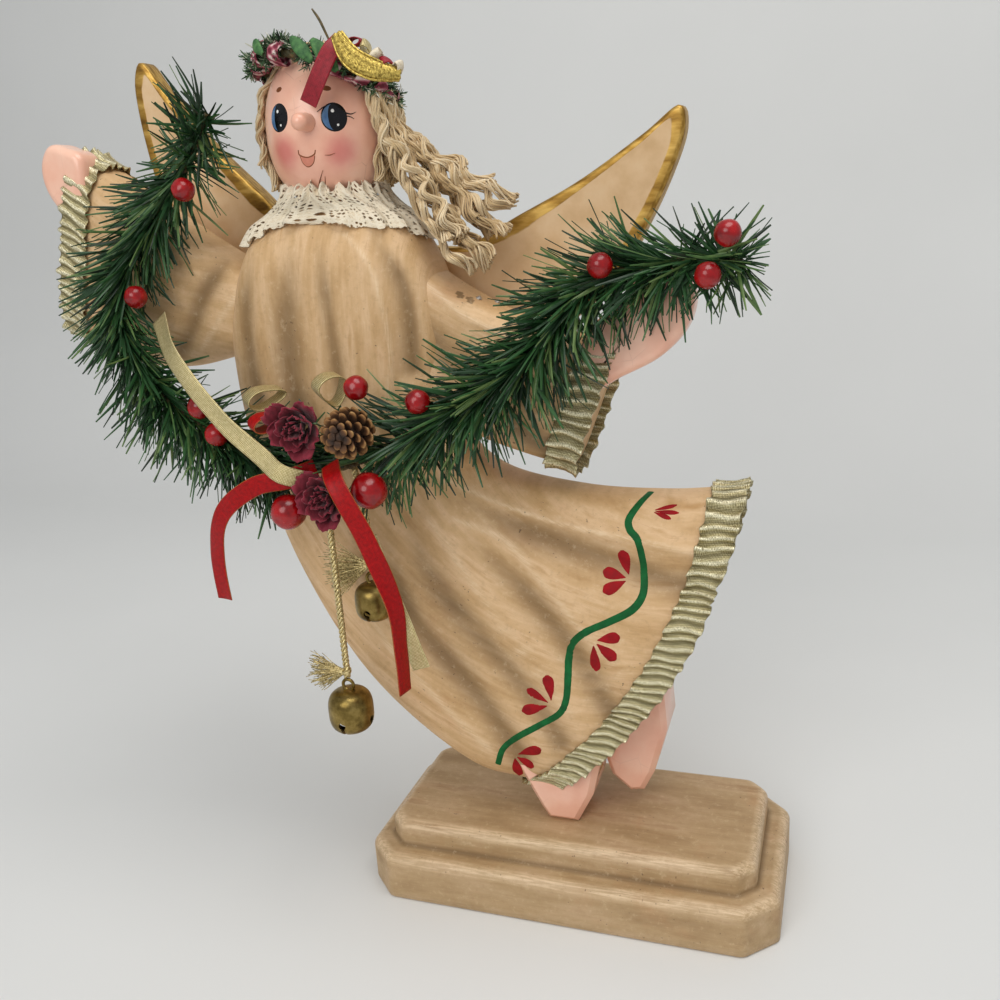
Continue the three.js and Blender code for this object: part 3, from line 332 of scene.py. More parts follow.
def into_mesh(name, points, faces, finish, marks=None, uv=None):
    mesh = bpy.data.meshes.new(name)
    mesh.from_pydata(to_metres(points).tolist(), [], faces)
    mesh.validate()
    mark_points(mesh, marks or {})
    if uv is not None:
        corner = np.zeros(len(mesh.loops), np.int32)
        mesh.loops.foreach_get("vertex_index", corner)
        mesh.uv_layers.new(name="cloth").data.foreach_set("uv", np.asarray(uv, np.float32)[corner].ravel())
    mesh.shade_smooth()
    mesh.materials.append(finish.material)
    return mesh


def in_scene(name, data):
    obj = bpy.data.objects.new(name, data)
    bpy.context.scene.collection.objects.link(obj)
    return obj


def outward(obj):
    """Turns every face of a closed piece to the outside."""
    work = bmesh.new()
    work.from_mesh(obj.data)
    bmesh.ops.recalc_face_normals(work, faces=work.faces)
    work.to_mesh(obj.data)
    work.free()


def seat(obj, stands_for=(), body="figure"):
    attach(obj, body)
    if stands_for:
        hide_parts(*stands_for)
    print(obj.name, len(obj.data.polygons), "faces, stands for", list(stands_for))
    return obj


def piece(name, points, faces, finish, slot, stands_for=(), body="figure", closed=True, **looks):
    obj = in_scene(name, into_mesh(name, np.asarray(points).reshape(-1, 3), faces, finish, **looks))
    if closed:
        outward(obj)
    return seat(obj, stands_for, body)


def piece_of(stock, name, finish, slot, stands_for=(), body="figure", closed=True):
    marks = {mark: np.concatenate(values) for mark, values in stock.marks.items()}
    return piece(name, np.vstack(stock.points), stock.faces, finish, slot, stands_for, body, closed, marks=marks)


print("mesh helpers ready")

# %% [markdown]
# The camera stands a little to the figure's left and above, close enough for the plinth to look wider in
# front. Its place was solved from the plinth's corners, so a spot in the picture can be sent back as a ray
# to the wood.

# %% Camera
EYE = np.array([92.19, -323.17, 247.37])
YAW, PITCH, ROLL = 0.34662, 0.28482, -0.06692
back_way = np.array([math.sin(YAW) * math.cos(PITCH), -math.cos(YAW) * math.cos(PITCH), math.sin(PITCH)])
level = unit(np.cross(-back_way, (0, 0, 1)))
upright = np.cross(level, -back_way)
across_way = math.cos(ROLL) * level + math.sin(ROLL) * upright
up_way = -math.sin(ROLL) * level + math.cos(ROLL) * upright
camera = in_scene("camera", bpy.data.cameras.new("camera"))
camera.data.lens = 36
camera.data.sensor_width = 36
camera.data.clip_start = 0.01
camera.matrix_world = Matrix([[*row, place * MM] for row, place in zip(
    np.stack([across_way, up_way, back_way], 1), EYE)] + [[0, 0, 0, 1]])
bpy.context.scene.camera = camera
PICTURE = 1000


def sight(spot):
    """The direction from the camera through a spot of the 1000 x 1000 picture."""
    return unit(-back_way * PICTURE + across_way * (spot[0] - PICTURE / 2) - up_way * (spot[1] - PICTURE / 2))


print("camera at", [round(v, 1) for v in EYE], "mm")

# %% [markdown]
# A pale floor curves up into a pale wall, as a photographer's paper sweep does, so there is no horizon line.
# A broad lamp above, a second one in front and an even sky give the soft, short shadows of a light table.

# %% Sweep and light
paper = Finish("paper_sweep", roughness=0.9)
paper.coloured(paper.grain(3), (0.3, 225, 226, 225), (0.7, 230, 231, 230))
SWEEP_BACK, SWEEP_ROUND, SWEEP_HALF_WIDTH = 420, 260, 1500
bend = [(SWEEP_BACK + SWEEP_ROUND * math.sin(a), SWEEP_ROUND * (1 - math.cos(a)))
        for a in np.linspace(0.1, math.pi / 2, 14)]
profile = [(-700, 0), (SWEEP_BACK, 0)] + bend + [(SWEEP_BACK + SWEEP_ROUND, 1300)]
sweep_points = [(x, y, z - PLINTH_TOP) for y, z in profile for x in (-SWEEP_HALF_WIDTH, SWEEP_HALF_WIDTH)]
sweep = in_scene("paper_sweep", into_mesh("paper_sweep", sweep_points, grid(len(profile), 2), paper))


def lamp(name, place, target, size, power, colour):
    light = bpy.data.lights.new(name, "AREA")
    light.shape = "DISK"
    light.size = size
    light.energy = power
    light.color = colour
    obj = in_scene(name, light)
    obj.location = place
    obj.rotation_euler = (Vector(target) - Vector(place)).to_track_quat("-Z", "Y").to_euler()


lamp("window_above", (0.2, -0.2, 1.05), (0, 0, 0.12), 0.7, 4.4, (1.0, 0.98, 0.95))
lamp("window_front", (-0.2, -1.05, 0.7), (0, 0, 0.15), 0.8, 5.1, (1.0, 0.99, 0.97))
world = bpy.data.worlds.new("even_sky")
world.use_nodes = True
sky = next(n for n in world.node_tree.nodes if n.type == "BACKGROUND")
sky.inputs["Color"].default_value = (0.98, 0.99, 1.0, 1)
sky.inputs["Strength"].default_value = 0.40
bpy.context.scene.world = world
bpy.context.scene.view_settings.view_transform = "Standard"
print("sweep, two lamps and a sky")

# %% [markdown]
# Two jingle bells hang from the swag on gold cord. The cord is three plies of metallic thread twisted
# together, and each bell is tied on with a knot whose end is frayed out. A plain tube would do for the
# length, but the twist catches the light, so each ply is its own thin tube round the same line. Cords are
# limp and hang straight down.

# %% Gold cord
def gold_thread(name, dark, light):
    thread = Finish(name, roughness=0.42, metallic=0.75)
    glint = thread.grain(1500, 2)
    thread.toned(glint, [(0.30, *dark), (0.62, *light)], 0.4, 0.0002)
    thread.set("Roughness", 0.5 - 0.25 * glint)
    return thread


cord_gold = gold_thread("gold_cord_thread", (138, 116, 68), (236, 218, 162))
UPPER_CORD = [(-62, -36.5, 139.6), (-62, -34, 130.1), (-62, -32, 120.6), (-62, -32, 111.1), (-62, -32, 101.6)]
LOWER_CORD = [(-71, -40.6, 139), (-71, -41, 120.4), (-71, -41, 101.75), (-71, -41, 83.1), (-71, -41, 64.5)]


def twisted(line, plies, ply_radius, offset, pitch):
    """Plies twisted round a line, one turn to each pitch."""
    stock = Stock()
    a, b = sides_of(line)
    along = distances(line)
    for k in range(plies):
        turn = along / pitch * 2 * math.pi + k * 2 * math.pi / plies
        stock.tube(line + offset * (np.cos(turn)[:, None] * a + np.sin(turn)[:, None] * b), ply_radius, 6)
    return stock


KNOT_TURNS, KNOT_RADIUS, KNOT_FIBRES, FIBRE_RADIUS = 7, 1.25, 130, 0.2


def frayed_knot(spot, reach, droop, seed):
    """A wound knot with its end teased out to the figure's right."""
    rng = np.random.default_rng(seed)
    stock = Stock()
    turn = np.linspace(0, 2 * math.pi, 26)
    t = np.linspace(0, 1, 9)
    for k in range(KNOT_TURNS):
        tilt = rng.uniform(-0.9, 0.9)
        rise = 0.5 * np.sin(turn + tilt) + 0.4 * (k / 3 - 1)
        stock.tube(spot + np.stack([KNOT_RADIUS * np.cos(turn), KNOT_RADIUS * np.sin(turn), rise], 1), 0.42, 5)
    for k in range(KNOT_FIBRES):
        swing = rng.normal(0, 0.30, 2)
        long = reach * rng.uniform(0.7, 1.05)
        way = unit(np.array([-1.0, 0.30 * swing[0], swing[1] - droop]))
        curl = np.column_stack([0 * t, 0.7 * np.sin(t * 5 + k), 0.9 * np.sin(t * 4 + 2 * k)])
        stock.tube(spot + (way * long + curl) * t[:, None], FIBRE_RADIUS * (1.15 - t * 0.5), 4)
    return stock


print("cord thread and knots ready")

# %% [markdown]
# A jingle bell is a pressed brass shell with square shoulders, crossed slots that end in small round holes,
# and a wire loop. The shell is turned from a profile, and the slots are cut through it with one boolean, as
# a punch does.

# %% Bells
BELL_SQUARENESS, BELL_WALL, BELL_ROWS, BELL_SIDES = 0.65, 0.8, 40, 72
SLOT_REACH, SLOT_HALF_WIDTH, HOLE_RADIUS = 1.05, 0.7, 1.35
aged_brass = Finish("aged_brass", roughness=0.4, metallic=0.95)
tarnish = aged_brass.grain(190, 5, 0.65)
grime = aged_brass.grain(700, 3)
aged_brass.coloured(tarnish, (0.28, 84, 68, 34), (0.45, 128, 108, 58), (0.62, 158, 136, 80),
                    (0.80, 192, 170, 108))
aged_brass.set("Roughness", 0.24 + 0.4 * tarnish * grime)
aged_brass.bump(tarnish + 0.4 * grime, 0.2, 0.0003)


def turned(profile, centre, sides):
    """Rings of points round an upright axis."""
    return np.array([[centre + np.array([r * math.cos(a), r * math.sin(a), z]) for a in round_turn(sides)]
                     for r, z in profile])


def squared_arc(radius, rows):
    """Half a circle whose shoulders are pressed out, as on a bell stamped from sheet."""
    turn = np.linspace(-math.pi / 2, math.pi / 2, 600)
    x, z = (radius * np.sign(part) * np.abs(part) ** BELL_SQUARENESS for part in (np.cos(turn), np.sin(turn)))
    return even(np.stack([np.maximum(x, 1e-3), z], 1), rows)


def slot_punch(centre, radius):
    """Two crossed bars under the bell and a round bar through each end of them."""
    punch = bmesh.new()
    low = Matrix.Translation(to_metres([centre - (0, 0, radius * 0.70)])[0])
    long, short = SLOT_REACH * radius * MM, SLOT_HALF_WIDTH * MM
    for x, y in ((long, short), (short, long)):
        bmesh.ops.create_cube(punch, size=2.0, matrix=low @ Matrix.Diagonal((x, y, radius * 0.36 * MM, 1)))
    for a in range(4):
        hole = centre + np.array([math.cos(a * math.pi / 2), math.sin(a * math.pi / 2), 0]) * radius * 0.9
        spot = Matrix.Translation(to_metres([hole - (0, 0, radius * 0.36)])[0])
        turn_out = Matrix.Rotation(math.pi / 2, 4, "Y" if a % 2 == 0 else "X")
        bmesh.ops.create_cone(punch, cap_ends=True, segments=20, radius1=HOLE_RADIUS * MM,
                              radius2=HOLE_RADIUS * MM, depth=radius * 0.8 * MM, matrix=spot @ turn_out)
    cutter = in_scene("punch", bpy.data.meshes.new("punch"))
    punch.to_mesh(cutter.data)
    punch.free()
    return cutter


def bell(name, centre, radius, node):
    centre = np.array(centre, float)
    shell = Stock()
    outside, inside = (turned(squared_arc(reach, BELL_ROWS), centre, BELL_SIDES)
                       for reach in (radius, radius - BELL_WALL))
    shell.add(outside, faces_of(outside))
    shell.add(inside, [face[::-1] for face in faces_of(inside)])
    obj = in_scene(name, into_mesh(name, np.vstack(shell.points), shell.faces, aged_brass))
    cutter = slot_punch(centre, radius)
    cut = obj.modifiers.new("slots", "BOOLEAN")
    cut.operation = "DIFFERENCE"
    cut.object = cutter
    cut.use_self = True
    flat = bpy.data.meshes.new_from_object(obj.evaluated_get(bpy.context.evaluated_depsgraph_get()))
    obj.modifiers.remove(cut)
    bpy.data.objects.remove(cutter)
    work = bmesh.new()
    work.from_mesh(flat)
    loop = Stock()
    around = np.linspace(0, 2 * math.pi, 40)
    ring = centre + np.stack([2 * np.cos(around), 0 * around, 2 * np.sin(around) + radius + 1.6], 1)
    loop.tube(ring, 0.6, 10)
    work.from_mesh(into_mesh("loop", np.vstack(loop.points), loop.faces, aged_brass))
    work.to_mesh(obj.data)
    work.free()
    obj.data.shade_smooth()
    obj.data.set_sharp_from_angle(angle=math.radians(35))
    return seat(obj, [node], node)


upper_bell = bell("upper_bell_shell", (-62, -32, 90.3), 6.8, "upper_bell")
lower_bell = bell("lower_bell_shell", (-71, -41, 52.0), 8.0, "lower_bell")


def hang(side, route, end_bell, fray, droop, seed):
    line = smooth_line(route, 120 if side == "upper" else 220)
    rope = piece_of(twisted(line, 3, 0.62, 0.66, 5.2), f"{side}_gold_cord", cord_gold, "gold_cord",
                    [f"{side}_bell_cord"], f"{side}_cord")
    knot = piece_of(frayed_knot(line[-1] + (0, 0, 2.2), fray, droop, seed), f"{side}_cord_knot", cord_gold,
                    "gold_cord", (), f"{side}_cord")
    path = to_metres(line)
    length = float(np.linalg.norm(np.diff(path, axis=0), axis=1).sum())
    tuple(path[0])
    print(side, "cord", round(length * 1000, 1), "mm long")


hang("upper", UPPER_CORD, upper_bell, 18.0, 0.30, 3)
hang("lower", LOWER_CORD, lower_bell, 14.5, 0.12, 4)

# %% [markdown]
# The gown, sleeves and plinth are pickled wood: a pale, warm stain rubbed into soft wood, so the grain shows
# through as tan, orange and olive streaks, and the ridges are rubbed pale. The cuts, the nail holes and the
# plinth's inner step are darkened with painted shade. An image could show that, but noise stretched along
# each board's own length stays sharp at any distance.

# %% Pickled wood
def pickled_wood(name, from_cloth, base):
    wood = Finish(name, roughness=0.6)
    if from_cloth:
        where, fine_scale, broad_scale = wood.uv(), (70, 3.0, 1), (9, 1.6, 1)
    else:
        where, fine_scale, broad_scale = wood.place(), (26, 420, 420), (14, 60, 60)
    fine = wood.noise(wood.stretched(where, fine_scale), 3.0, 8, 0.68)
    band = wood.noise(wood.stretched(where, broad_scale), 2.0, 3, 0.55)
    patch = wood.grain(34, 4, 0.6)
    pale = wood.ramp(band, *[(stop, *shade) for stop, shade in zip((0.30, 0.47, 0.60, 0.74), base)])
    streak = fine.clear(0.56, 0.74) * band.clear(0.40, 0.66)
    colour = wood.mix(streak * 0.7, pale, paint(166, 116, 66))
    colour = wood.mix((1 - fine).clear(0.55, 0.75) * 0.30, colour, paint(236, 206, 164))
    colour = wood.mix(patch.clear(0.56, 0.80) * 0.35, colour, paint(200, 138, 92))
    hollow, worn = wood.own("hollow"), wood.own("worn")
    # Cuts, nail holes and the plinth's inner step are darkened here as painted shade.
    colour = wood.mix((hollow * (0.55 + 0.6 * patch)).clear(0.05, 1.0) * 0.8, colour, paint(118, 90, 52))
    colour = wood.mix(worn * fine.clear(0.35, 0.65) * 0.75, colour, paint(240, 212, 174))
    scuff = wood.grain(420, 5, 0.7)
    colour = wood.mix(scuff.clear(0.50, 0.72) * 0.22, colour, paint(150, 112, 70))
    colour = wood.mix((1 - scuff).clear(0.54, 0.72) * 0.22, colour, paint(244, 220, 184))
    speck = wood.grain(760, 2).clear(0.70, 0.74)
    colour = wood.mix(speck * patch.clear(0.45, 0.6) * 0.8, colour, paint(84, 58, 38))
    wood.set("Base Color", colour)
    wood.set("Roughness", 0.66 - 0.2 * worn - 0.1 * fine)
    wood.bump(fine * 0.7 + scuff * 0.4 - speck * 0.6 + patch * 0.2, 0.4, 0.0006)
    return wood


GOWN_SHADES = ((196, 156, 106), (214, 176, 128), (226, 190, 146), (196, 154, 102))
PLINTH_SHADES = ((163, 132, 92), (180, 150, 109), (192, 162, 124), (166, 132, 92))
gown_wood = pickled_wood("pickled_gown", True, GOWN_SHADES)
plinth_wood = pickled_wood("pickled_plinth", False, PLINTH_SHADES)
print("pickled wood mixed")

# %% [markdown]
# The gown is one carved block: rings between its two outline curves, flat in front and softly squared. Its
# folds fan out from the waist. They were cut with a gouge, so here they are cut with lines too: each line of
# the picture is laid on the front of the block, and points near it sink, or rise where two cuts meet in a
# ridge.

# %% Carved boards
def in_picture(points):
    """Where points land in the picture."""
    away = np.asarray(points, float) + (0, 0, PLINTH_TOP) - EYE
    depth = -away @ back_way
    return np.stack([PICTURE / 2 + PICTURE * (away @ across_way) / depth,
                     PICTURE / 2 - PICTURE * (away @ up_way) / depth], -1)


def away_from(spots, line):
    """How far spots of the picture are from a line of it, and how far along the line the nearest place is."""
    line = smooth_line(line, 60)
    gaps = np.linalg.norm(spots[..., None, :] - line, axis=-1)
    nearest = gaps.argmin(-1)
    return np.take_along_axis(gaps, nearest[..., None], -1)[..., 0], nearest / 59


def eased(t):
    t = np.clip(t, 0, 1)
    return t * t * (3 - 2 * t)


def carved(left, right, front, back, bow, power, rows, sides):
    """Rings between two outline curves: their points, each column's share across and each ring's half width."""
    ends = np.linspace(0, 1, rows)
    a, b = [np.stack([np.interp(ends, np.linspace(0, 1, 400), smooth_by_points(edge)[:, k]) for k in (0, 1)], 1)
            for edge in (left, right)]
    half = (b - a) / 2
    length = np.linalg.norm(half, axis=1)
    across = half / length[:, None]
    onward = np.stack([across[:, 1], -across[:, 0]], 1)
    turn = np.arange(sides) / sides * 2 * math.pi
    u = np.sign(np.cos(turn)) * np.abs(np.cos(turn)) ** (2 / power)
    w = np.sign(np.sin(turn)) * np.abs(np.sin(turn)) ** (2 / power)
    flat = ((a + b) / 2)[:, None] + across[:, None] * (u[None, :, None] * length[:, None, None])
    flat = flat + onward[:, None] * (bow(ends)[:, None] * (1 - u ** 2)[None])[..., None]
    depth = np.where(w < 0, front(ends)[:, None] * w, back(ends)[:, None] * w)
    return np.stack([flat[..., 0], depth, flat[..., 1]], -1), u, length


def smooth_by_points(edge):
    """A smooth curve whose stations are its own points, so that both outlines of a board keep in step."""
    p = np.asarray(edge, float)
    p = np.vstack([2 * p[0] - p[1], p, 2 * p[-1] - p[-2]])
    spot = np.linspace(0, len(edge) - 1, 400)
    i = np.minimum(spot.astype(int), len(edge) - 2)
    return between(p[i], p[i + 1], p[i + 2], p[i + 3], (spot - i)[:, None])


def gouge(points, cuts):
    """Sinks the front of a board along lines of the picture: what is cut in, and what is left standing."""
    spots = in_picture(points)
    facing = eased((-points[..., 1] - 2) / 8)
    hollow = np.zeros(points.shape[:2])
    worn = np.zeros(points.shape[:2])
    for line, width, depth in cuts:
        gap, along = away_from(spots, line)
        share = np.exp(-np.abs(gap / width) ** 1.5) * np.minimum(1, 0.35 + along * 2) * facing
        points[..., 1] += depth * share
        # How far each point is cut in is kept as the amount of painted shade its finish gets.
        if depth > 0:
            hollow = np.maximum(hollow, share)
        else:
            worn = np.maximum(worn, np.exp(-(gap / 3.2) ** 2) * facing)
    return hollow, worn


END_SHARES = (0.985, 0.9, 0.6, 0.3, 0.02)
CLOTH_UNIT = 0.01


def with_ends(points):
    """Closes a board's two ends with flat discs of points drawn in to the middle."""
    discs = []
    for end in (points[:1], points[-1:]):
        middle = end.mean(1, keepdims=True)
        discs.append(np.concatenate([middle + (end - middle) * share for share in END_SHARES]))
    return np.concatenate([discs[0][::-1], points, discs[1]])


def board_piece(name, points, across, half_width, hollow, worn, stands_for):
    """A carved board with its own grain direction, which runs along it and turns to the flat of each end."""
    u = across[None] * half_width[:, None] * CLOTH_UNIT
    v = np.broadcast_to(distances(points.mean(1))[:, None] * CLOTH_UNIT, u.shape)
    closed = with_ends(points)
    added = len(END_SHARES)
    hollow, worn, u, v = (np.pad(mark, ((added, added), (0, 0)), "edge") for mark in (hollow, worn, u, v))
    for end in (slice(0, added), slice(-added, None)):
        u[end], v[end] = closed[end][..., 1] * CLOTH_UNIT, closed[end][..., 2] * CLOTH_UNIT
    return piece(name, closed, faces_of(closed), gown_wood, "pickled_wood", [stands_for],
                 marks={"hollow": hollow.ravel(), "worn": worn.ravel()}, uv=np.stack([u.ravel(), v.ravel()], 1))


GOWN_LEFT = [(-96, 223), (-109, 212), (-119, 190), (-121, 172), (-118, 143), (-105, 95), (-80, 49), (-43, 17),
             (-12, 10)]
GOWN_RIGHT = [(-58, 223), (-46, 213), (-38, 194), (-37, 174), (-39, 150), (-24, 132), (6, 125), (36, 124),
              (60, 126)]
HEM_BOW = 13
GOWN_FRONT, GOWN_BACK = 22, 18


def shoulder(t):
    return 0.62 + 0.38 * eased(t / 0.2)


gown_points, gown_u, gown_width = carved(
    GOWN_LEFT, GOWN_RIGHT, lambda t: GOWN_FRONT * shoulder(t), lambda t: GOWN_BACK * shoulder(t),
    lambda t: HEM_BOW * eased((t - 0.45) / 0.55), 3, 230, 260)
# Each fold is a line of the picture, how wide the gouge is there and how deep it cuts, or stands up if below 0.
FOLDS = [
    ([(441, 477), (500, 503), (560, 523), (640, 540), (700, 552)], 8, -2.0),
    ([(455, 500), (527, 533), (616, 567), (690, 592)], 18, 3.6),
    ([(455, 520), (506, 543), (545, 585), (590, 640), (640, 690)], 8, -1.0),
    ([(470, 540), (520, 590), (570, 650), (610, 715)], 15, 2.6),
    ([(430, 520), (470, 580), (520, 650), (570, 715)], 6, -0.7),
    ([(405, 520), (430, 580), (480, 640), (530, 700), (560, 745)], 14, 2.4),
    ([(385, 540), (410, 620), (470, 690), (520, 760)], 15, 2.8),
    ([(350, 550), (380, 630), (430, 690), (490, 750)], 9, -0.8),
    ([(346, 234), (370, 266), (383, 308), (391, 355), (388, 420)], 7, -1.4),
    ([(372, 240), (396, 280), (407, 320), (412, 370)], 12, 3.4),
    ([(290, 250), (285, 300), (290, 370), (300, 430)], 18, 1.4),
    ([(250, 262), (245, 310), (250, 360), (258, 400)], 10, 0.9),
    ([(318, 245), (325, 300), (335, 360), (340, 400)], 9, 0.7),
]
gown = board_piece("gown_carved", gown_points, gown_u, gown_width, *gouge(gown_points, FOLDS), "gown")

# %% [markdown]
# The sleeves are thinner boards glued and nailed against the gown. A ridge runs along each from shoulder to
# cuff, with a pale worn line on it, and the left one keeps two nail holes, which are not cut but painted dark
# as painted shade.

# %% Sleeves
LEFT_SLEEVE_TOP = [(-58, 214), (-36, 197), (-13, 184), (4, 178), (21, 177)]
LEFT_SLEEVE_LOW = [(-66, 164), (-46, 152), (-27, 143), (-10, 137), (4, 133)]
RIGHT_SLEEVE_TOP = [(-92, 198), (-114, 206), (-138, 221), (-158, 235), (-174, 246)]
RIGHT_SLEEVE_LOW = [(-100, 176), (-120, 173), (-142, 169), (-166, 171), (-190, 183)]


SLEEVE_FRONT, SLEEVE_BACK = 14, 12
LEFT_CUTS = [
    ([(391, 252), (413, 269), (437, 292), (461, 312), (479, 323), (540, 345)], 8, -0.8),
    ([(405, 300), (430, 340), (460, 370), (520, 400)], 18, 2.0),
    ([(440, 350), (480, 390), (520, 430), (560, 460)], 14, 1.2),
]
RIGHT_CUTS = [([(235, 250), (205, 290), (190, 330), (180, 350)], 12, 1.6),
              ([(240, 290), (220, 320), (205, 345)], 9, -0.5)]
LEFT_NAIL_HOLES = [(460, 295), (470, 300)]
NAIL_HOLE_REACH = 3.4


def sleeve(side, first, second, cuts, nail_holes):
    points, u, width = carved(first, second, lambda t: SLEEVE_FRONT + 0 * t, lambda t: SLEEVE_BACK + 0 * t,
                              lambda t: 0 * t, 3.6, 120, 160)
    hollow, worn = gouge(points, cuts)
    # The nail holes are only spots of painted shade on the finish.
    for hole in nail_holes:
        gap = np.linalg.norm(in_picture(points) - hole, axis=-1)
        hollow = np.maximum(hollow, 1.6 * (gap < NAIL_HOLE_REACH))
    board_piece(f"{side}_sleeve_carved", points, u, width, hollow, worn, f"{side}_sleeve")
    return points


left_points = sleeve("left", LEFT_SLEEVE_LOW, LEFT_SLEEVE_TOP, LEFT_CUTS, LEFT_NAIL_HOLES)
right_points = sleeve("right", RIGHT_SLEEVE_TOP, RIGHT_SLEEVE_LOW, RIGHT_CUTS, [])

# %% [markdown]
# The plinth is a thick board with clipped corners and a second step on top, its edges rounded with a router
# and rubbed pale. Its levels are drawn as one clipped rectangle that shrinks, with rounded corners of its
# own.

# %% Plinth
BASE_HALF = (76.0, 38.0)
CORNER_CLIP, CORNER_SOFT, EDGE_ROUND, LEDGE, LEDGE_INSET = 11.0, 1.6, 4.0, 18.0, 8.0
PLINTH_SIDES = 320


def clipped_rectangle(inset):
    x, y = BASE_HALF[0] - inset, BASE_HALF[1] - inset
    c = CORNER_CLIP - inset * (2 - math.sqrt(2))
    corners = np.array([(x - c, y), (-x + c, y), (-x, y - c), (-x, -y + c), (-x + c, -y), (x - c, -y),
                        (x, -y + c), (x, y - c)])
    soft = []
    for i, corner in enumerate(corners):
        back, on = (unit(other - corner) * CORNER_SOFT for other in (corners[i - 1], corners[(i + 1) % 8]))
        soft += [corner + back * (1 - share) ** 2 + on * share ** 2 for share in np.linspace(0, 1, 5)]
    return even(soft + soft[:1], PLINTH_SIDES + 1)[:-1]


def quarter(z, inset):
    return [(z - EDGE_ROUND * (1 - math.sin(a)), inset + EDGE_ROUND * (1 - math.cos(a)), math.sin(2 * a))
            for a in np.linspace(0, math.pi / 2, 7)]


# Each level is its height, how far it is drawn in, and how worn it is, or how dark with painted shade if below
# 0.
levels = [(0.0, 0.7, 0.4), (0.7, 0.0, 0.4)] + [(z, 0.0, 0.1) for z in (4, 8, 11)] + quarter(LEDGE, 0)
# The two rows at the foot of the top step are darkened as painted shade.
levels += [(LEDGE, 5.5, 0.1), (LEDGE + 0.05, LEDGE_INSET - 0.6, -0.8), (LEDGE + 0.6, LEDGE_INSET, -1.0)]
levels += [(LEDGE + 3, LEDGE_INSET, 0.0)] + quarter(PLINTH_TOP, LEDGE_INSET)
plinth_rows = np.array([np.column_stack([clipped_rectangle(inset), np.full(PLINTH_SIDES, z - PLINTH_TOP)])
                        for z, inset, _ in levels])
rubbed = np.repeat([mark for _, _, mark in levels], PLINTH_SIDES)
piece("plinth", plinth_rows, faces_of(plinth_rows), plinth_wood, "pickled_wood", ["base"],
      marks={"worn": np.maximum(0, rubbed), "hollow": np.maximum(0, -rubbed)})

# %% [markdown]
# The wings are sawn boards with a beige face and a border of antique gold. The border could be a second
# piece, but on the real one it is only paint, so each point of the board carries its distance from the edge
# and the finish turns to gold near it. The gold is brushed on thin, with brown showing through.

# %% Wings
WING_OUTLINE = [(-6, -14), (2, 15), (24, 17), (44, 26), (66, 36), (88, 49), (100, 57), (102, 50), (98, 38),
                (90, 22), (80, 6), (64, -9), (40, -22), (12, -27)]
WING_FRONT, WING_BACK = 18.3, 27.3


def inset_ring(outline, inset):
    """A closed outline drawn in along its own normals."""
    after = np.roll(outline, -1, 0)
    way = after - np.roll(outline, 1, 0)
    inward = unit(np.stack([-way[:, 1], way[:, 0]], 1))
    runs_left = (after[:, 1] * outline[:, 0] - after[:, 0] * outline[:, 1]).sum() > 0
    return outline + inward * (inset if runs_left else -inset)


def rounded_board(outline, front, back, edge, steps=5):
    """A board with softened edges: rings from the middle of its front, over the edge, to that of its back."""
    rings, gap = [], []
    first = inset_ring(outline, edge)
    middle = first.mean(0)
    for share in (0.02, 0.2, 0.4, 0.6, 0.75, 0.85, 0.93):
        rings.append((middle + (first - middle) * share, front))
        gap.append(edge + np.linalg.norm(first - middle, axis=1) * (1 - share))
    for a in np.linspace(0, math.pi / 2, steps):
        inset = edge * (1 - math.sin(a))
        rings.append((inset_ring(outline, inset), front + edge * (1 - math.cos(a))))
        gap.append(np.full(len(outline), inset))
    rings += [(flat, back - (depth - front)) for flat, depth in rings[::-1]]
    points = [np.column_stack([flat[:, 0], np.full(len(flat), depth), flat[:, 1]]) for flat, depth in rings]
    return np.array(points), np.array(gap + gap[::-1])


wing_paint = Finish("wing_gold_and_beige", roughness=0.5)
rim = wing_paint.own("rim")
ragged = rim + 1.6 * (wing_paint.grain(160, 3) - 0.5)
gilt = 1 - ragged.clear(4.8, 5.6)
brushed = wing_paint.noise(wing_paint.place(stretch=(60, 900, 240)), 1.2, 4)
cloudy = wing_paint.noise(wing_paint.place(stretch=(90, 20, 90)), 1.0, 4)
beige = wing_paint.ramp(cloudy, (0.3, 206, 170, 124), (0.5, 220, 186, 142), (0.7, 228, 198, 158))
gold = wing_paint.ramp(brushed, (0.30, 120, 86, 34), (0.48, 172, 132, 58), (0.66, 214, 176, 96))
wing_paint.set("Base Color", wing_paint.mix(gilt, beige, gold))
wing_paint.set("Metallic", gilt * 0.75)
wing_paint.set("Roughness", 0.62 - 0.24 * gilt + 0.12 * brushed)
wing_paint.bump(brushed + gilt * 0.6, 0.25, 0.0004)


def wing(name, side, root, lift, node):
    outline = smooth_line(WING_OUTLINE, 180, closed=True) * (side, 1)
    rings, gap = rounded_board(outline, WING_FRONT, WING_BACK, 1.5)
    turn = math.radians(lift)
    x = rings[..., 0] * math.cos(turn) + rings[..., 2] * math.sin(turn)
    z = rings[..., 2] * math.cos(turn) - rings[..., 0] * math.sin(turn)
    placed = np.stack([x + root[0], rings[..., 1], z + root[1]], -1)
    return piece(name, placed, faces_of(placed), wing_paint, "gold_paint", [node], marks={"rim": gap.ravel()})


wing("left_wing_board", 1, (-62, 190), 0, "left_wing")
wing("right_wing_board", -1, (-88, 192), 20, "right_wing")

# %% [markdown]
# Head, nose, hands and feet are painted a glossy pink flesh. The head is turned like an egg. Old paint has
# fine cracks and chips, and the cheeks are rubbed in with red, so the finish mixes them by where they are on
# the head.

# %% Flesh paint
HEAD = np.array([-77.0, 0.0, 247.0])
HEAD_RADIUS, HEAD_UP, HEAD_DOWN, HEAD_ROWS, HEAD_SIDES = 21.0, 27.0, 25.0, 90, 140


def head_radius(height):
    reach = np.where(height > 0, HEAD_UP, HEAD_DOWN)
    return HEAD_RADIUS * np.sqrt(np.maximum(0, 1 - np.abs(height / reach) ** 2.3))


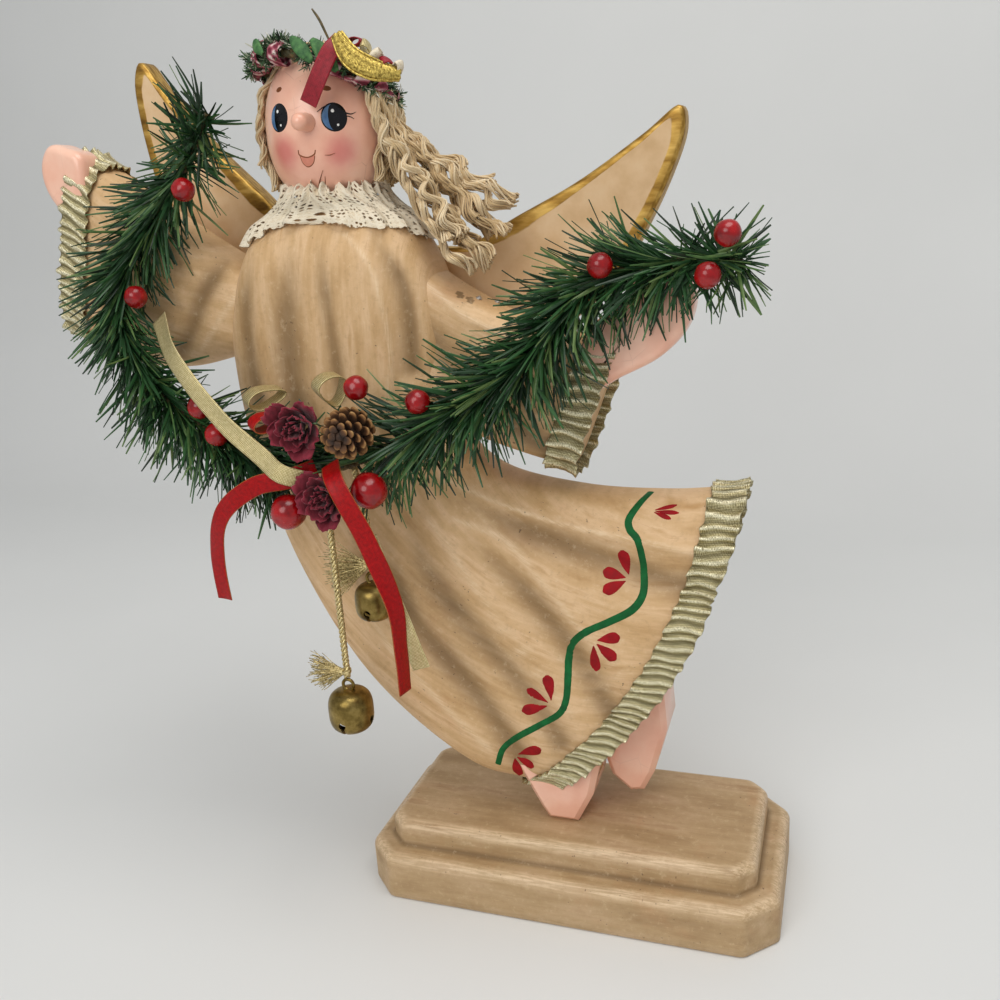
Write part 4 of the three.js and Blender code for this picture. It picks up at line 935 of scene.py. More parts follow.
def on_head(degrees, height, out=0.0):
    """A place on the head: degrees from straight ahead, to the figure's left, and height from its middle."""
    turn = np.radians(degrees)
    reach = head_radius(np.asarray(height, float)) + out
    return np.stack([HEAD[0] + reach * np.sin(turn), HEAD[1] - reach * np.cos(turn),
                     HEAD[2] + height + 0 * turn], -1)


def flesh_paint(name, cheeks=(), cracked=0.32):
    skin = Finish(name, roughness=0.28, Coat_Weight=0.4, Coat_Roughness=0.16)
    soft = skin.grain(55, 4)
    colour = skin.ramp(soft, (0.3, 236, 172, 146), (0.5, 246, 190, 164), (0.7, 251, 206, 182))
    where = skin.place()
    for cheek in cheeks:
        spot = to_metres([cheek])[0]
        gap = skin.make("ShaderNodeVectorMath", {"operation": "DISTANCE"}, {0: where, 1: tuple(spot)}, "Value")
        rosy = 1 - (gap + 0.004 * (soft - 0.5)).clear(0.0008, 0.0078)
        colour = skin.mix(rosy * 0.68, colour, paint(206, 92, 92))
    chips = skin.grain(210, 5, 0.7)
    colour = skin.mix(chips.clear(0.70, 0.735) * 0.7, colour, paint(170, 112, 82))
    crack = skin.make("ShaderNodeTexVoronoi", {"feature": "DISTANCE_TO_EDGE"},
                      {"Vector": skin.place(stretch=(1, 1, 0.55)), "Scale": 130}, "Distance")
    lines = (1 - crack.clear(0.004, 0.014)) * soft.clear(0.52, 0.62)
    colour = skin.mix(lines * cracked, colour, paint(150, 92, 74))
    skin.set("Base Color", colour)
    skin.set("Roughness", 0.26 + 0.2 * chips.clear(0.6, 0.75) + 0.08 * soft)
    skin.bump(soft * 0.7 - lines * 0.5 - chips.clear(0.68, 0.74), 0.15, 0.0005)
    return skin


face_paint = flesh_paint("face_paint", [on_head(-20, -6.2), on_head(38, -7.4)])
limb_paint = flesh_paint("hand_and_foot_paint", (), 0.12)
head_rows = np.sin(np.linspace(-math.pi / 2, math.pi / 2, HEAD_ROWS))
head_heights = np.where(head_rows > 0, HEAD_UP, HEAD_DOWN) * head_rows * 0.9995
head_turn = np.arange(HEAD_SIDES) * 360 / HEAD_SIDES
head_points = np.array([on_head(head_turn, np.full(HEAD_SIDES, height)) for height in head_heights])
head = piece("head_turned", head_points, faces_of(head_points), face_paint, "flesh_paint", ["head"])

NOSE_RADIUS, NOSE_LENGTH = 2.8, 7.0
nose_root = np.array([HEAD[0] + 3, -math.sqrt(float(head_radius(2.0)) ** 2 - 9), HEAD[2] + 2])
nose_tip = [(max(0.02, NOSE_RADIUS * math.sin(t)), NOSE_RADIUS * (1 - math.cos(t)) - NOSE_LENGTH)
            for t in np.linspace(0, math.pi / 2, 16)]
nose_shank = [(NOSE_RADIUS + 0.04 * k, -3.4 + 1.1 * k) for k in range(5)]
nose_points = np.array([[nose_root + (r * math.cos(a), deep, r * math.sin(a)) for a in round_turn(36)]
                        for r, deep in nose_tip + nose_shank])
piece("nose_peg", nose_points, faces_of(nose_points), face_paint, "flesh_paint", ["nose"])

# %% [markdown]
# The hands are mittens sawn from board, and the feet are wedges, both with their edges sanded round. The
# hands are rings like the wings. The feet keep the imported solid's facets, so a bevel on a copy of it is the
# shorter way.

# %% Hands and feet
LEFT_HAND = [(8, 158), (24, 165), (36, 171), (44, 179), (47, 188), (45, 196), (38, 200), (31, 198), (25, 190),
             (12, 178)]
RIGHT_HAND = [(-170, 244), (-178, 250), (-184, 251), (-188, 247), (-189.5, 241), (-188, 234), (-183, 227),
              (-174, 221)]
HAND_FRONT, HAND_BACK, HAND_ROUND = -14, -2, 3.0
for side, outline in (("left", LEFT_HAND), ("right", RIGHT_HAND)):
    rings, _ = rounded_board(smooth_line(outline, 110, closed=True), HAND_FRONT, HAND_BACK, HAND_ROUND, 7)
    piece(f"{side}_hand_mitten", rings, faces_of(rings), limb_paint, "flesh_paint", [f"{side}_hand"])


EDGE_RUBBED = 1.2


def softened(node, name, finish):
    """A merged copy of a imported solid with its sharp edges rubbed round."""
    obj = in_scene(name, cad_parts[node].data.copy())
    work = bmesh.new()
    work.from_mesh(obj.data)
    bmesh.ops.remove_doubles(work, verts=work.verts, dist=2e-6)
    bmesh.ops.dissolve_limit(work, angle_limit=math.radians(2), verts=work.verts, edges=work.edges)
    work.to_mesh(obj.data)
    work.free()
    bevel = obj.modifiers.new("rubbed edges", "BEVEL")
    bevel.width = EDGE_RUBBED * MM
    bevel.segments = 3
    bevel.limit_method = "ANGLE"
    bevel.angle_limit = math.radians(28)
    with bpy.context.temp_override(object=obj, active_object=obj):
        bpy.ops.object.modifier_apply(modifier=bevel.name)
    obj.data.materials.clear()
    obj.data.materials.append(finish.material)
    obj.data.shade_smooth()
    obj.data.set_sharp_from_angle(angle=math.radians(40))
    return seat(obj, [node])


for foot in ("front_foot", "rear_foot"):
    softened(foot, foot + "_wedge", limb_paint)

# %% [markdown]
# Dowels, nails and pellets stay as their solids. They only need a finish: raw wood with end grain lines, and
# zinc steel with a fine turned look. The two wing screws show their heads, so those get a dome and a cross
# recess.

# %% Fasteners
bare_wood = Finish("bare_dowel_wood", roughness=0.7)
end_grain = bare_wood.noise(bare_wood.place(stretch=(1, 1, 0.12)), 900, 3)
bare_wood.toned(end_grain, [(0.3, 166, 126, 80), (0.7, 206, 166, 114)], 0.2)
zinc = Finish("zinc_steel", roughness=0.35, metallic=0.8)
turned_marks = zinc.noise(zinc.place(stretch=(1, 1, 6)), 1400, 2)
zinc.toned(turned_marks, [(0.3, 150, 150, 148), (0.7, 206, 206, 202)], 0.1)
zinc.set("Roughness", 0.34 + 0.25 * turned_marks)


def middle_of(node):
    """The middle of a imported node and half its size, in millimetres."""
    low, high = (np.array(corner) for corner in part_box(node))
    return (low + high) / 2 / MM - (0, 0, PLINTH_TOP), (high - low) / 2 / MM


def screw_head(name, node):
    """A low domed head with a cross recess. Its shank is out of sight in the wood."""
    centre, half = middle_of(node)
    r, a = np.linspace(0.01, 1, 34)[:, None], round_turn(90)[None]
    x, z = r * np.cos(a), r * np.sin(a)

    def arm(long, short):
        return np.clip((0.6 - np.abs(long)) / 0.1, 0, 1) * np.clip((0.19 - np.abs(short)) / 0.07, 0, 1)

    rise = half[1] + 0.15 + 0.7 * (1 - r ** 2) - 0.55 * np.maximum(arm(x, z), arm(z, x))
    rings = np.stack([half[0] * x, rise, half[0] * z], -1)
    rim = rings[-1:] * (1, 0, 1) + (0, half[1] - 0.6, 0)
    rings = centre + np.concatenate([rings, rim])
    piece(name, rings, faces_of(rings), zinc, "steel", [node])


for screw in ("left_wing_screw", "right_wing_screw"):
    screw_head(screw + "_head", screw)
for node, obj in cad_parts.items():
    if "dowel" in node or node == "base_screw" or "brad" in node or "pellet" in node:
        obj.data.materials.clear()
        obj.data.materials.append((bare_wood if "dowel" in node else zinc).material)
print("fasteners finished")

# %% [markdown]
# The vine, the petals and the face are brushed on. A brush stroke is a thin film that follows the wood, so
# each stroke is a line of the picture sent down onto the surface, widened sideways and laid back on it. That
# keeps a crisp edge and a slightly raised body, which a blurred mask in the wood's finish wouldn't.

# %% Brush strokes
def surface_of(obj):
    return BVHTree.FromPolygons([v.co for v in obj.data.vertices], [p.vertices for p in obj.data.polygons])


def laid_on(tree, spots):
    """Spots of the picture sent down onto a surface: places and outward directions, in millimetres."""
    places, outs = [], []
    for spot in spots:
        place, out, _, _ = tree.ray_cast(Vector(EYE * MM), Vector(sight(spot)))
        places.append(np.array(place) / MM - (0, 0, PLINTH_TOP))
        outs.append(np.array(out))
    return np.array(places), np.array(outs)


def pressed(tree, points, lift):
    """Points moved to the nearest place on a surface, and lifted off it."""
    result = []
    for point, height in zip(points, lift):
        place, out, _, _ = tree.find_nearest(Vector(to_metres([point])[0]))
        result.append((np.array(place) + np.array(out) * height * MM) / MM - (0, 0, PLINTH_TOP))
    return np.array(result)


STROKE_SHARES = np.array([-1, -0.86, -0.5, 0, 0.5, 0.86, 1])


def stroke(stock, tree, spots, widths, count, lift=0.28):
    """A brush stroke through spots of the picture, with its widths from start to end."""
    line, out = laid_on(tree, smooth_line(spots, count))
    across = unit(np.cross(np.gradient(line, axis=0), out))
    widths = np.interp(np.linspace(0, 1, count), np.linspace(0, 1, len(widths)), widths)
    rows = line[:, None] + across[:, None] * (widths[:, None] / 2 * STROKE_SHARES[None])[..., None]
    heights = np.broadcast_to(lift * (1 - STROKE_SHARES ** 4) - 0.04, rows.shape[:2])
    rows = pressed(tree, rows.reshape(-1, 3), heights.ravel())
    faces = grid(count, len(STROKE_SHARES))
    a, b, c = (rows[corner] for corner in faces[3 * len(STROKE_SHARES)][:3])
    if np.cross(b - a, c - a).dot(out[3]) < 0:
        faces = [face[::-1] for face in faces]
    stock.add(rows, faces)


def dab(stock, degrees, height, wide, tall, tilt=0.0, lift=0.12, shift=(0, 0)):
    """A round dab on the head, wide and tall in millimetres, with its own slight crown."""
    turn = round_turn(40)
    rings = []
    for share in (0.02, 0.35, 0.7, 0.92, 1.0):
        x = shift[0] + wide / 2 * share * np.cos(turn)
        y = shift[1] + tall / 2 * share * np.sin(turn)
        sx = x * math.cos(tilt) - y * math.sin(tilt)
        sy = x * math.sin(tilt) + y * math.cos(tilt)
        rings.append(on_head(degrees + np.degrees(sx / 20.5), height + sy, lift * (1.05 - share ** 6)))
    stock.add(np.concatenate(rings), grid(5, 40, around=True) + [list(range(40))[::-1]])


def brushed_paint(name, dark, light, roughness=0.65):
    colour = Finish(name, roughness=roughness, Coat_Weight=max(0, 0.5 - roughness), Specular_IOR_Level=0.25)
    drag = colour.grain(320, 4)
    colour.toned(drag, [(0.3, *dark), (0.7, *light)], 0.2, 0.0002)
    colour.set("Roughness", roughness - 0.1 + 0.25 * drag)
    return colour


vine_green = brushed_paint("vine_green", (4, 76, 34), (14, 104, 50))
petal_red = brushed_paint("petal_red", (132, 4, 14), (166, 10, 22))
gown_surface = surface_of(gown)
VINE = [(651, 492), (640, 503), (629, 519), (630, 530), (637, 539), (642, 557), (644, 572), (643, 594),
        (632, 610), (609, 622), (586, 632), (573, 643), (569, 658), (568, 676), (566, 700), (559, 714),
        (540, 725), (516, 738), (503, 749), (498, 764)]
vine = Stock()
stroke(vine, gown_surface, VINE, [2.4, 2.6, 2.5, 2.8, 2.6, 2.7, 2.4, 2.6, 2.3], 150)
piece_of(vine, "painted_vine", vine_green, "pickled_wood", closed=False)
# Each flower is the spot its petals grow from and the spot of each tip. The last is the small bud.
PETALS = [((630, 579), [(622, 550), (603, 571), (603, 592)]),
          ((593, 641), [(620, 637), (616, 660), (596, 671)]),
          ((552, 705), [(547, 675), (527, 689), (522, 711)]),
          ((514, 755), [(541, 749), (534, 767), (519, 775)]),
          ((651, 511), [(677, 505), (679, 513), (671, 519)])]
PETAL_WIDTHS = [0.3, 1.2, 2.2, 3.1, 3.8, 4.2, 4.3, 3.8, 0.8]
BUD_WIDTHS = [0.2, 0.8, 1.3, 1.7, 1.8, 1.5, 0.4]
petals = Stock()
for base, tips in PETALS:
    for tip in np.array(tips, float):
        start = base + (tip - base) * 0.16
        stroke(petals, gown_surface, [start, (start + tip) / 2, tip],
               BUD_WIDTHS if base == PETALS[-1][0] else PETAL_WIDTHS, 22)
piece_of(petals, "painted_petals", petal_red, "pickled_wood", closed=False)

# %% [markdown]
# The face is dotted on with a few colours: black eyes with a blue crescent and two white glints, lashes,
# brown brows and a small open smile. It is placed on the head by angle and height, so it stays on it from
# every side.

# %% Face
head_surface = surface_of(head)
eye_black = brushed_paint("eye_black", (8, 8, 12), (16, 16, 22), 0.2)
eye_blue = brushed_paint("eye_blue", (62, 96, 138), (104, 140, 176), 0.25)
eye_white = brushed_paint("eye_white", (236, 236, 232), (250, 250, 246), 0.3)
brow_brown = brushed_paint("brow_brown", (112, 62, 32), (142, 84, 48))
lip_pink = brushed_paint("lip_pink", (206, 128, 106), (222, 146, 124))
LEFT_EYE, RIGHT_EYE = (33.0, 3.1), (-21.5, 4.4)
eyes, irises, glints, lashes, lips, lines = (Stock() for _ in range(6))
for place in (LEFT_EYE, RIGHT_EYE):
    dab(eyes, *place, 8.3, 8.8, lift=0.10)
    turn = np.linspace(math.radians(100), math.radians(262), 20)
    outer = np.stack([3.75 * np.cos(turn), 3.9 * np.sin(turn)], 1)
    inner = np.stack([3.75 * np.cos(turn) + 1.9 * np.sin(np.linspace(0, math.pi, 20)), 3.9 * np.sin(turn)], 1)
    crescent = np.array([on_head(place[0] + np.degrees(flat[:, 0] / 20.5), place[1] + flat[:, 1], 0.19)
                         for flat in (outer, (outer + inner) / 2, inner)])
    irises.add(crescent, grid(3, 20))
    dab(glints, *place, 1.15, 1.15, lift=0.22, shift=(-0.3, 1.9))
    dab(glints, *place, 0.8, 0.8, lift=0.22, shift=(1.0, -2.4))
LASHES = [([(346, 113), (351, 114), (356, 112)], [0.5, 0.4, 0.1], 10),
          ([(347, 116), (351, 117), (354, 119)], [0.4, 0.3, 0.1], 8),
          ([(317, 112), (322, 108), (327, 105)], [0.1, 0.35, 0.3], 10)]
for look in LASHES:
    stroke(lashes, head_surface, *look)
dab(lines, -23.0, 13.0, 3.0, 1.6, 0.05)
dab(lines, 29.0, 11.9, 3.2, 1.6, -0.12)
MOUTH = [(298.2, 150.2), (299.6, 155.1), (307.1, 157.4), (314.0, 154.6), (315.4, 149.8)]
LOWER_LIP = [(300.0, 155.8), (303.4, 163.5), (308.6, 166.8), (313.4, 163.0), (314.8, 155.6)]
upper_row = laid_on(head_surface, smooth_line(MOUTH[1:4], 14))[0]
lower_row = laid_on(head_surface, smooth_line(LOWER_LIP, 14))[0]
lip_rows = np.array([upper_row + (lower_row - upper_row) * share for share in (0, 0.3, 0.7, 1)])
lip_rows = pressed(head_surface, lip_rows.reshape(-1, 3), np.full(56, 0.10))
lips.add(lip_rows, grid(4, 14))
SMILE_LINES = [(MOUTH, [0.35, 0.5, 0.4, 0.5, 0.35], 26, 0.2), (LOWER_LIP, [0.25, 0.3, 0.4, 0.3, 0.25], 26, 0.2),
               ([(325, 155), (330, 155), (335, 153)], [0.1, 0.3, 0.1], 8),
               ([(319, 186), (320, 180), (323, 170)], [0.5, 0.3, 0.1], 10),
               ([(322, 190), (325, 184), (325, 176)], [0.6, 0.4, 0.1], 10)]
for look in SMILE_LINES:
    stroke(lines, head_surface, *look)
for stock, name, colour in ((eyes, "eyes_black", eye_black), (irises, "eyes_blue", eye_blue),
                            (glints, "eyes_white", eye_white), (lashes, "lashes", eye_black),
                            (lips, "lips", lip_pink), (lines, "brows_and_smile", brow_brown)):
    piece_of(stock, name, colour, "flesh_paint", closed=False)

# %% [markdown]
# The hem and cuffs carry strips of gold lamé, gathered on a thread and glued round the edge. Cloth
# simulation could bunch a strip, but a strip this narrow keeps the gathers it was sewn with, so the pleats
# are laid out directly: uneven waves, tight at the stitching and open at both edges. The cut length is what
# the pleats add up to.

# %% Gold lamé strips
lame = Finish("gold_lame", roughness=0.36, metallic=0.82)
cloth_spot = lame.uv()
ribs = lame.bands(cloth_spot, "Y", 62, 1.2, 6)
threads = lame.bands(cloth_spot, "X", 46, 2.0, 4)
sparkle = lame.noise(lame.stretched(cloth_spot, (60, 160, 1)), 2.4, 3)
worn_gold = lame.ramp(0.30 * ribs + 0.15 * threads + 0.7 * sparkle, (0.28, 118, 106, 70),
                      (0.55, 172, 160, 118), (0.82, 230, 222, 180))
crest = lame.own("crest")
# Pleat valleys are darkened as painted shade.
worn_gold = lame.mix((1 - crest).clear(0.55, 1.0) * 0.55, worn_gold, paint(92, 84, 54))
# Pleat crests are lightened where the sparkle falls, as a painted highlight.
bright = crest.clear(0.6, 1.0) * sparkle.clear(0.35, 0.6)
lame.set("Base Color", lame.mix(bright, worn_gold, paint(250, 244, 212)))
lame.set("Roughness", 0.52 - 0.26 * sparkle)
lame.bump(0.6 * ribs + 0.4 * threads + sparkle, 0.45, 0.0003)


def pleats(length, low, high, rng):
    """Uneven waves that close up round a ring: where each crest falls, as a phase for every half millimetre."""
    steps = rng.uniform(low, high, int(length / ((low + high) / 2)))
    knots = np.concatenate([[0], np.cumsum(steps)]) * length / steps.sum()
    count = int(length / 0.5)
    spots = np.arange(count) * length / count
    phase = np.interp(spots, knots, np.arange(len(knots)) * 2 * math.pi)
    return phase, np.interp(spots, knots, np.append(rng.uniform(0.45, 1.25, len(steps)), 0.8))


def strip_shell(points, around, thickness):
    """A strip of cloth with its own thickness: both faces and the two long edges."""
    rows, cols = points.shape[:2]
    before, after = np.roll(points, 1, 1), np.roll(points, -1, 1)
    if not around:
        before[:, 0], after[:, -1] = points[:, 0], points[:, -1]
    out = unit(np.cross(after - before, np.gradient(points, axis=0)))
    both = np.concatenate([points + out * thickness / 2, points - out * thickness / 2])
    top = grid(rows, cols, around)
    half = rows * cols
    faces = top + [[i + half for i in face[::-1]] for face in top]
    last = (rows - 1) * cols
    for i in range(cols if around else cols - 1):
        j = (i + 1) % cols
        faces += [[j, i, i + half, j + half], [last + i, last + j, last + j + half, last + i + half]]
    if not around:
        for r in range(rows - 1):
            a, b = r * cols, (r + 1) * cols
            c, d = a + cols - 1, b + cols - 1
            faces += [[a, b, b + half, a + half], [d, c, c + half, d + half]]
    return both, faces


def area_of(points):
    """The area of a strip that closes up round a ring."""
    wrapped = np.concatenate([points, points[:, :1]], 1)
    a = np.cross(wrapped[1:, :-1] - wrapped[:-1, :-1], wrapped[:-1, 1:] - wrapped[:-1, :-1])
    b = np.cross(wrapped[1:, :-1] - wrapped[1:, 1:], wrapped[:-1, 1:] - wrapped[1:, 1:])
    return (np.linalg.norm(a, axis=-1) + np.linalg.norm(b, axis=-1)).sum() / 2


def both_sides(along, across):
    """The cloth's own two directions, for both faces of a strip."""
    flat = np.stack(np.broadcast_arrays(along, across), -1).reshape(-1, 2)
    return np.concatenate([flat, flat])


def declare_strip(obj, points, width):
    length = area_of(points) / width
    length * MM
    print(obj.name, "was cut", round(width, 1), "x", round(length), "mm")


RUFFLE_WIDTH, RUFFLE_OVERHANG, RUFFLE_ROWS = 12.0, 3.0, 19
PLEAT_SHORT, PLEAT_LONG, LAME_THICKNESS = 2.6, 4.8, 0.22


def ruffle(name, board, node, seed):
    """A gathered strip round the far end of a carved board."""
    rng = np.random.default_rng(seed)
    drops = np.linspace(RUFFLE_WIDTH - RUFFLE_OVERHANG, -RUFFLE_OVERHANG, RUFFLE_ROWS)
    backwards = board[::-1]
    gone = np.concatenate([np.zeros((1, board.shape[1])),
                           np.cumsum(np.linalg.norm(np.diff(backwards, axis=0), axis=-1), axis=0)])
    end_way = unit(backwards[0] - backwards[3])
    rows = []
    for drop in drops:
        if drop < 0:
            rows.append(backwards[0] - end_way * drop)
        else:
            rows.append(np.array([[np.interp(drop, gone[:, i], backwards[:, i, k]) for k in range(3)]
                                  for i in range(board.shape[1])]))
    rows = np.array(rows)
    stitched = rows[RUFFLE_ROWS // 2]
    steps = distances(np.concatenate([stitched, stitched[:1]]))
    phase, height = pleats(steps[-1], PLEAT_SHORT, PLEAT_LONG, rng)
    spots = np.interp(np.arange(len(phase)) / len(phase) * steps[-1], steps, np.arange(len(steps)))
    i = spots.astype(int) % board.shape[1]
    j = (i + 1) % board.shape[1]
    share = (spots % 1)[:, None]
    base = rows[:, i] * (1 - share) + rows[:, j] * share
    out = unit(np.cross(np.roll(base, -1, 1) - np.roll(base, 1, 1), np.gradient(base, axis=0)))
    middle = base.mean((0, 1))
    if (out * (base - middle)).sum() < 0:
        out = -out
    v = np.linspace(-1, 1, RUFFLE_ROWS)[:, None]
    open_edge = 0.85 + 0.85 * v ** 2
    crest = 0.5 + 0.5 * np.sin(phase + 0.5 * v + 0.6 * np.sin(3 * v + phase * 0.21))
    lift = 0.55 + 1.3 * open_edge * height * crest
    ripple = 0.10 * np.sin(2.3 * phase + 7 * v) * height
    points = base + out * (lift + ripple)[..., None]
    edge = unit(np.gradient(base, axis=0)) * (0.45 * np.sin(phase * 0.5 + 1.0) * np.sign(v) * v ** 4)[..., None]
    points = points + edge
    shell, faces = strip_shell(points, True, LAME_THICKNESS)
    obj = piece(name, shell, faces, lame, "gold_lame", [node], marks={"crest": np.tile(crest.ravel(), 2)},
                uv=both_sides(np.arange(len(phase)) * 0.005, v * 0.06))
    declare_strip(obj, points, RUFFLE_WIDTH)


ruffle("hem_lame", gown_points, "hem_ruffle", 11)
ruffle("left_cuff_lame", left_points, "left_cuff_ruffle", 12)
ruffle("right_cuff_lame", right_points, "right_cuff_ruffle", 13)

# %% [markdown]
# The collar is a strip of cotton lace, gathered round the neck so that its top edge frills under the chin
# and its scalloped edge falls over the shoulders. The holes are in the finish, cut by Alpha, because
# modelling each eyelet would cost far more than it shows. Their pattern follows the strip's own length and
# width.

# %% Lace collar
COLLAR_WIDTH, COLLAR_ROWS, COLLAR_COLUMNS, LACE_THICKNESS = 21.0, 26, 620, 0.25
lace = Finish("cotton_lace", roughness=0.85)
lace_spot = lace.uv()
far, down = (lace.make("ShaderNodeSeparateXYZ", {}, {"Vector": lace_spot}, axis) for axis in "XY")
net, eyelet = (lace.make("ShaderNodeTexVoronoi", {},
                         {"Vector": lace_spot, "Scale": scale, "Randomness": uneven}, "Distance")
               for scale, uneven in ((60, 0.35), (21, 0.5)))
motif = (far * 62).wave() * (down * 70).wave()
open_net = (1 - net.clear(0.28, 0.36)) * motif.clear(-0.15, 0.1)
open_eye = (1 - eyelet.clear(0.15, 0.20)) * (1 - motif.clear(-0.3, 0.1))
scallop = 0.196 + 0.010 * abs((far * 40).wave())
edge_cut = (down - scallop).clear(0.0, 0.002)
cotton = lace.noise(lace_spot, 240, 3)
lace.set("Alpha", (1 - open_net) * (1 - open_eye) * (1 - edge_cut))
yarn = lace.ramp(cotton, (0.3, 210, 192, 160), (0.6, 236, 223, 198))
lace.set("Base Color", lace.mix(net.clear(0.2, 0.6) * 0.5, yarn, paint(244, 236, 216)))
lace.bump(net + cotton, 0.5, 0.0004)


def collar():
    rng = np.random.default_rng(21)
    count = COLLAR_COLUMNS
    turn = np.arange(count) / count * 2 * math.pi
    ring_spot = np.arange(count) / count * gown_points.shape[1]
    i, share = ring_spot.astype(int), (ring_spot % 1)[:, None]

    def gown_ring(t, out):
        row = np.broadcast_to(t, count) * (gown_points.shape[0] - 1)
        low = row.astype(int)
        a = gown_points[low, i] * (1 - share) + gown_points[low, (i + 1) % gown_points.shape[1]] * share
        flat = unit((a - (HEAD[0], 0, 0)) * (1, 1, 0))
        return a + flat * np.broadcast_to(out, count)[:, None]

    waves = np.sin(turn * 17 + 1.5 * np.sin(turn * 3) + rng.uniform(0, 6))
    frill = np.sin(turn * 29 + 2.0 * np.sin(turn * 5 + 1) + 2.0)

    def neck_ring(reach, height):
        reach, height = np.broadcast_to(reach, count), np.broadcast_to(height, count)
        return np.stack([HEAD[0] + reach * np.cos(turn), reach * np.sin(turn), HEAD[2] + height], 1)

    side = np.cos(turn) ** 2
    neck = float(head_radius(-19.0))
    rings = np.array([
        neck_ring(neck + 2.6 + 1.5 * frill, -17.2 + 1.5 * np.sin(turn * 23) + 0.8 * np.sin(turn * 7)),
        neck_ring(neck + 4.2 + 0.9 * frill, -20.2), gown_ring(0.015, 3.2 + 0.8 * waves),
        gown_ring(0.05 + 0.025 * side, 3.6 + 1.3 * waves),
        gown_ring(0.082 + 0.06 * side + 0.012 * np.sin(turn * 5 + 1), 1.9 + 1.6 * waves + 0.3 * frill)])
    columns = np.stack([smooth_line(rings[:, k], COLLAR_ROWS) for k in range(count)], 1)
    shell, faces = strip_shell(columns, True, LACE_THICKNESS)
    length = area_of(columns) / COLLAR_WIDTH
    obj = piece("lace_collar_strip", shell, faces, lace, "lace", ["lace_collar"],
                uv=both_sides(np.arange(count)[None] / count * length * 0.01,
                              np.linspace(0, COLLAR_WIDTH * 0.01, COLLAR_ROWS)[:, None]))
    declare_strip(obj, columns, COLLAR_WIDTH)


collar()

# %% [markdown]
# The hair is cotton rope, unravelled: it keeps the crimp of the twist, and hangs in locks of loose plies.
# Each lock is a bundle of strands round a guide line. A geometry tree sweeps every strand with a small round
# section, which is what such a tree is best at: thousands of the same thing along lines.

# %% A tree that sweeps strands
def new_tree(name, inputs):
    tree = bpy.data.node_groups.new(name, "GeometryNodeTree")
    tree.interface.new_socket("Geometry", in_out="INPUT", socket_type="NodeSocketGeometry")
    for label, kind in inputs:
        tree.interface.new_socket(label, in_out="INPUT", socket_type=kind)
    tree.interface.new_socket("Geometry", in_out="OUTPUT", socket_type="NodeSocketGeometry")
    work = Bench(tree)
    given = tree.nodes.new("NodeGroupInput")
    return work, {socket.name: Wire(work, socket) for socket in given.outputs if socket.name}


def marked(work, name, kind="FLOAT"):
    return work.make("GeometryNodeInputNamedAttribute", {"data_type": kind}, {"Name": name}, "Attribute")


def strand_tree():
    work, take = new_tree("strands", [("Thickness", "NodeSocketFloat"), ("Finish", "NodeSocketMaterial")])
    lines = work.make("GeometryNodeMeshToCurve", {}, {"Mesh": take["Geometry"]})
    thin = marked(work, "thick")
    lines = work.make("GeometryNodeSetCurveRadius", {}, {"Curve": lines, "Radius": thin})
    section = work.make("GeometryNodeCurvePrimitiveCircle", {}, {"Resolution": 4, "Radius": take["Thickness"]})
    tubes = work.make("GeometryNodeCurveToMesh", {},
                      {"Curve": lines, "Profile Curve": section, "Fill Caps": True})
    tubes = work.make("GeometryNodeRealizeInstances", {}, {"Geometry": tubes})
    tubes = work.make("GeometryNodeSetShadeSmooth", {}, {"Geometry": tubes})
    tubes = work.make("GeometryNodeSetMaterial", {}, {"Geometry": tubes, "Material": take["Finish"]})
    work.make("NodeGroupOutput", {}, {"Geometry": tubes})
    return work.tree


def run_tree(name, mesh, tree, values, stands_for=()):
    """Runs a tree on a mesh of points or lines, and keeps the result as a plain piece."""
    scaffold = in_scene(name + "_scaffold", mesh)
    modifier = scaffold.modifiers.new("tree", "NODES")
    modifier.node_group = tree
    for socket in tree.interface.items_tree:
        if socket.in_out == "INPUT" and socket.name in values:
            modifier[socket.identifier] = values[socket.name]
    made = bpy.data.meshes.new_from_object(scaffold.evaluated_get(bpy.context.evaluated_depsgraph_get()))
    made.name = name
    bpy.data.objects.remove(scaffold)
    return seat(in_scene(name, made), stands_for)


def line_mesh(name, lines, thick, shade):
    mesh = bpy.data.meshes.new(name)
    starts = np.cumsum([0] + [len(line) for line in lines])
    edges = [(start + k, start + k + 1) for start, line in zip(starts, lines) for k in range(len(line) - 1)]
    mesh.from_pydata(to_metres(np.concatenate(lines)).tolist(), edges, [])
    mark_points(mesh, {"thick": np.concatenate(thick), "shade": np.concatenate(shade)})
    return mesh


strands = strand_tree()
STRAND_RADIUS = 0.34
cotton_rope = Finish("unravelled_cotton", roughness=0.8, Sheen_Weight=0.25)
fibre = cotton_rope.noise(cotton_rope.place(stretch=(1, 1, 0.3)), 1600, 3)
cotton_rope.coloured(0.7 * cotton_rope.own("shade") + 0.3 * fibre, (0.1, 150, 118, 74), (0.45, 204, 176, 130),
                     (0.85, 234, 214, 178))
cotton_rope.bump(fibre, 0.4, 0.0002)
print("strand tree and cotton ready")

# %% [markdown]
# The hair falls in three parts: heavy locks at the figure's left, four thin ones at its right and a cap over
# the back. The locks could be combed by hand, but a few guide lines and a seeded spread give the same loose
# fall, and each part stays one piece that stands for one solid.

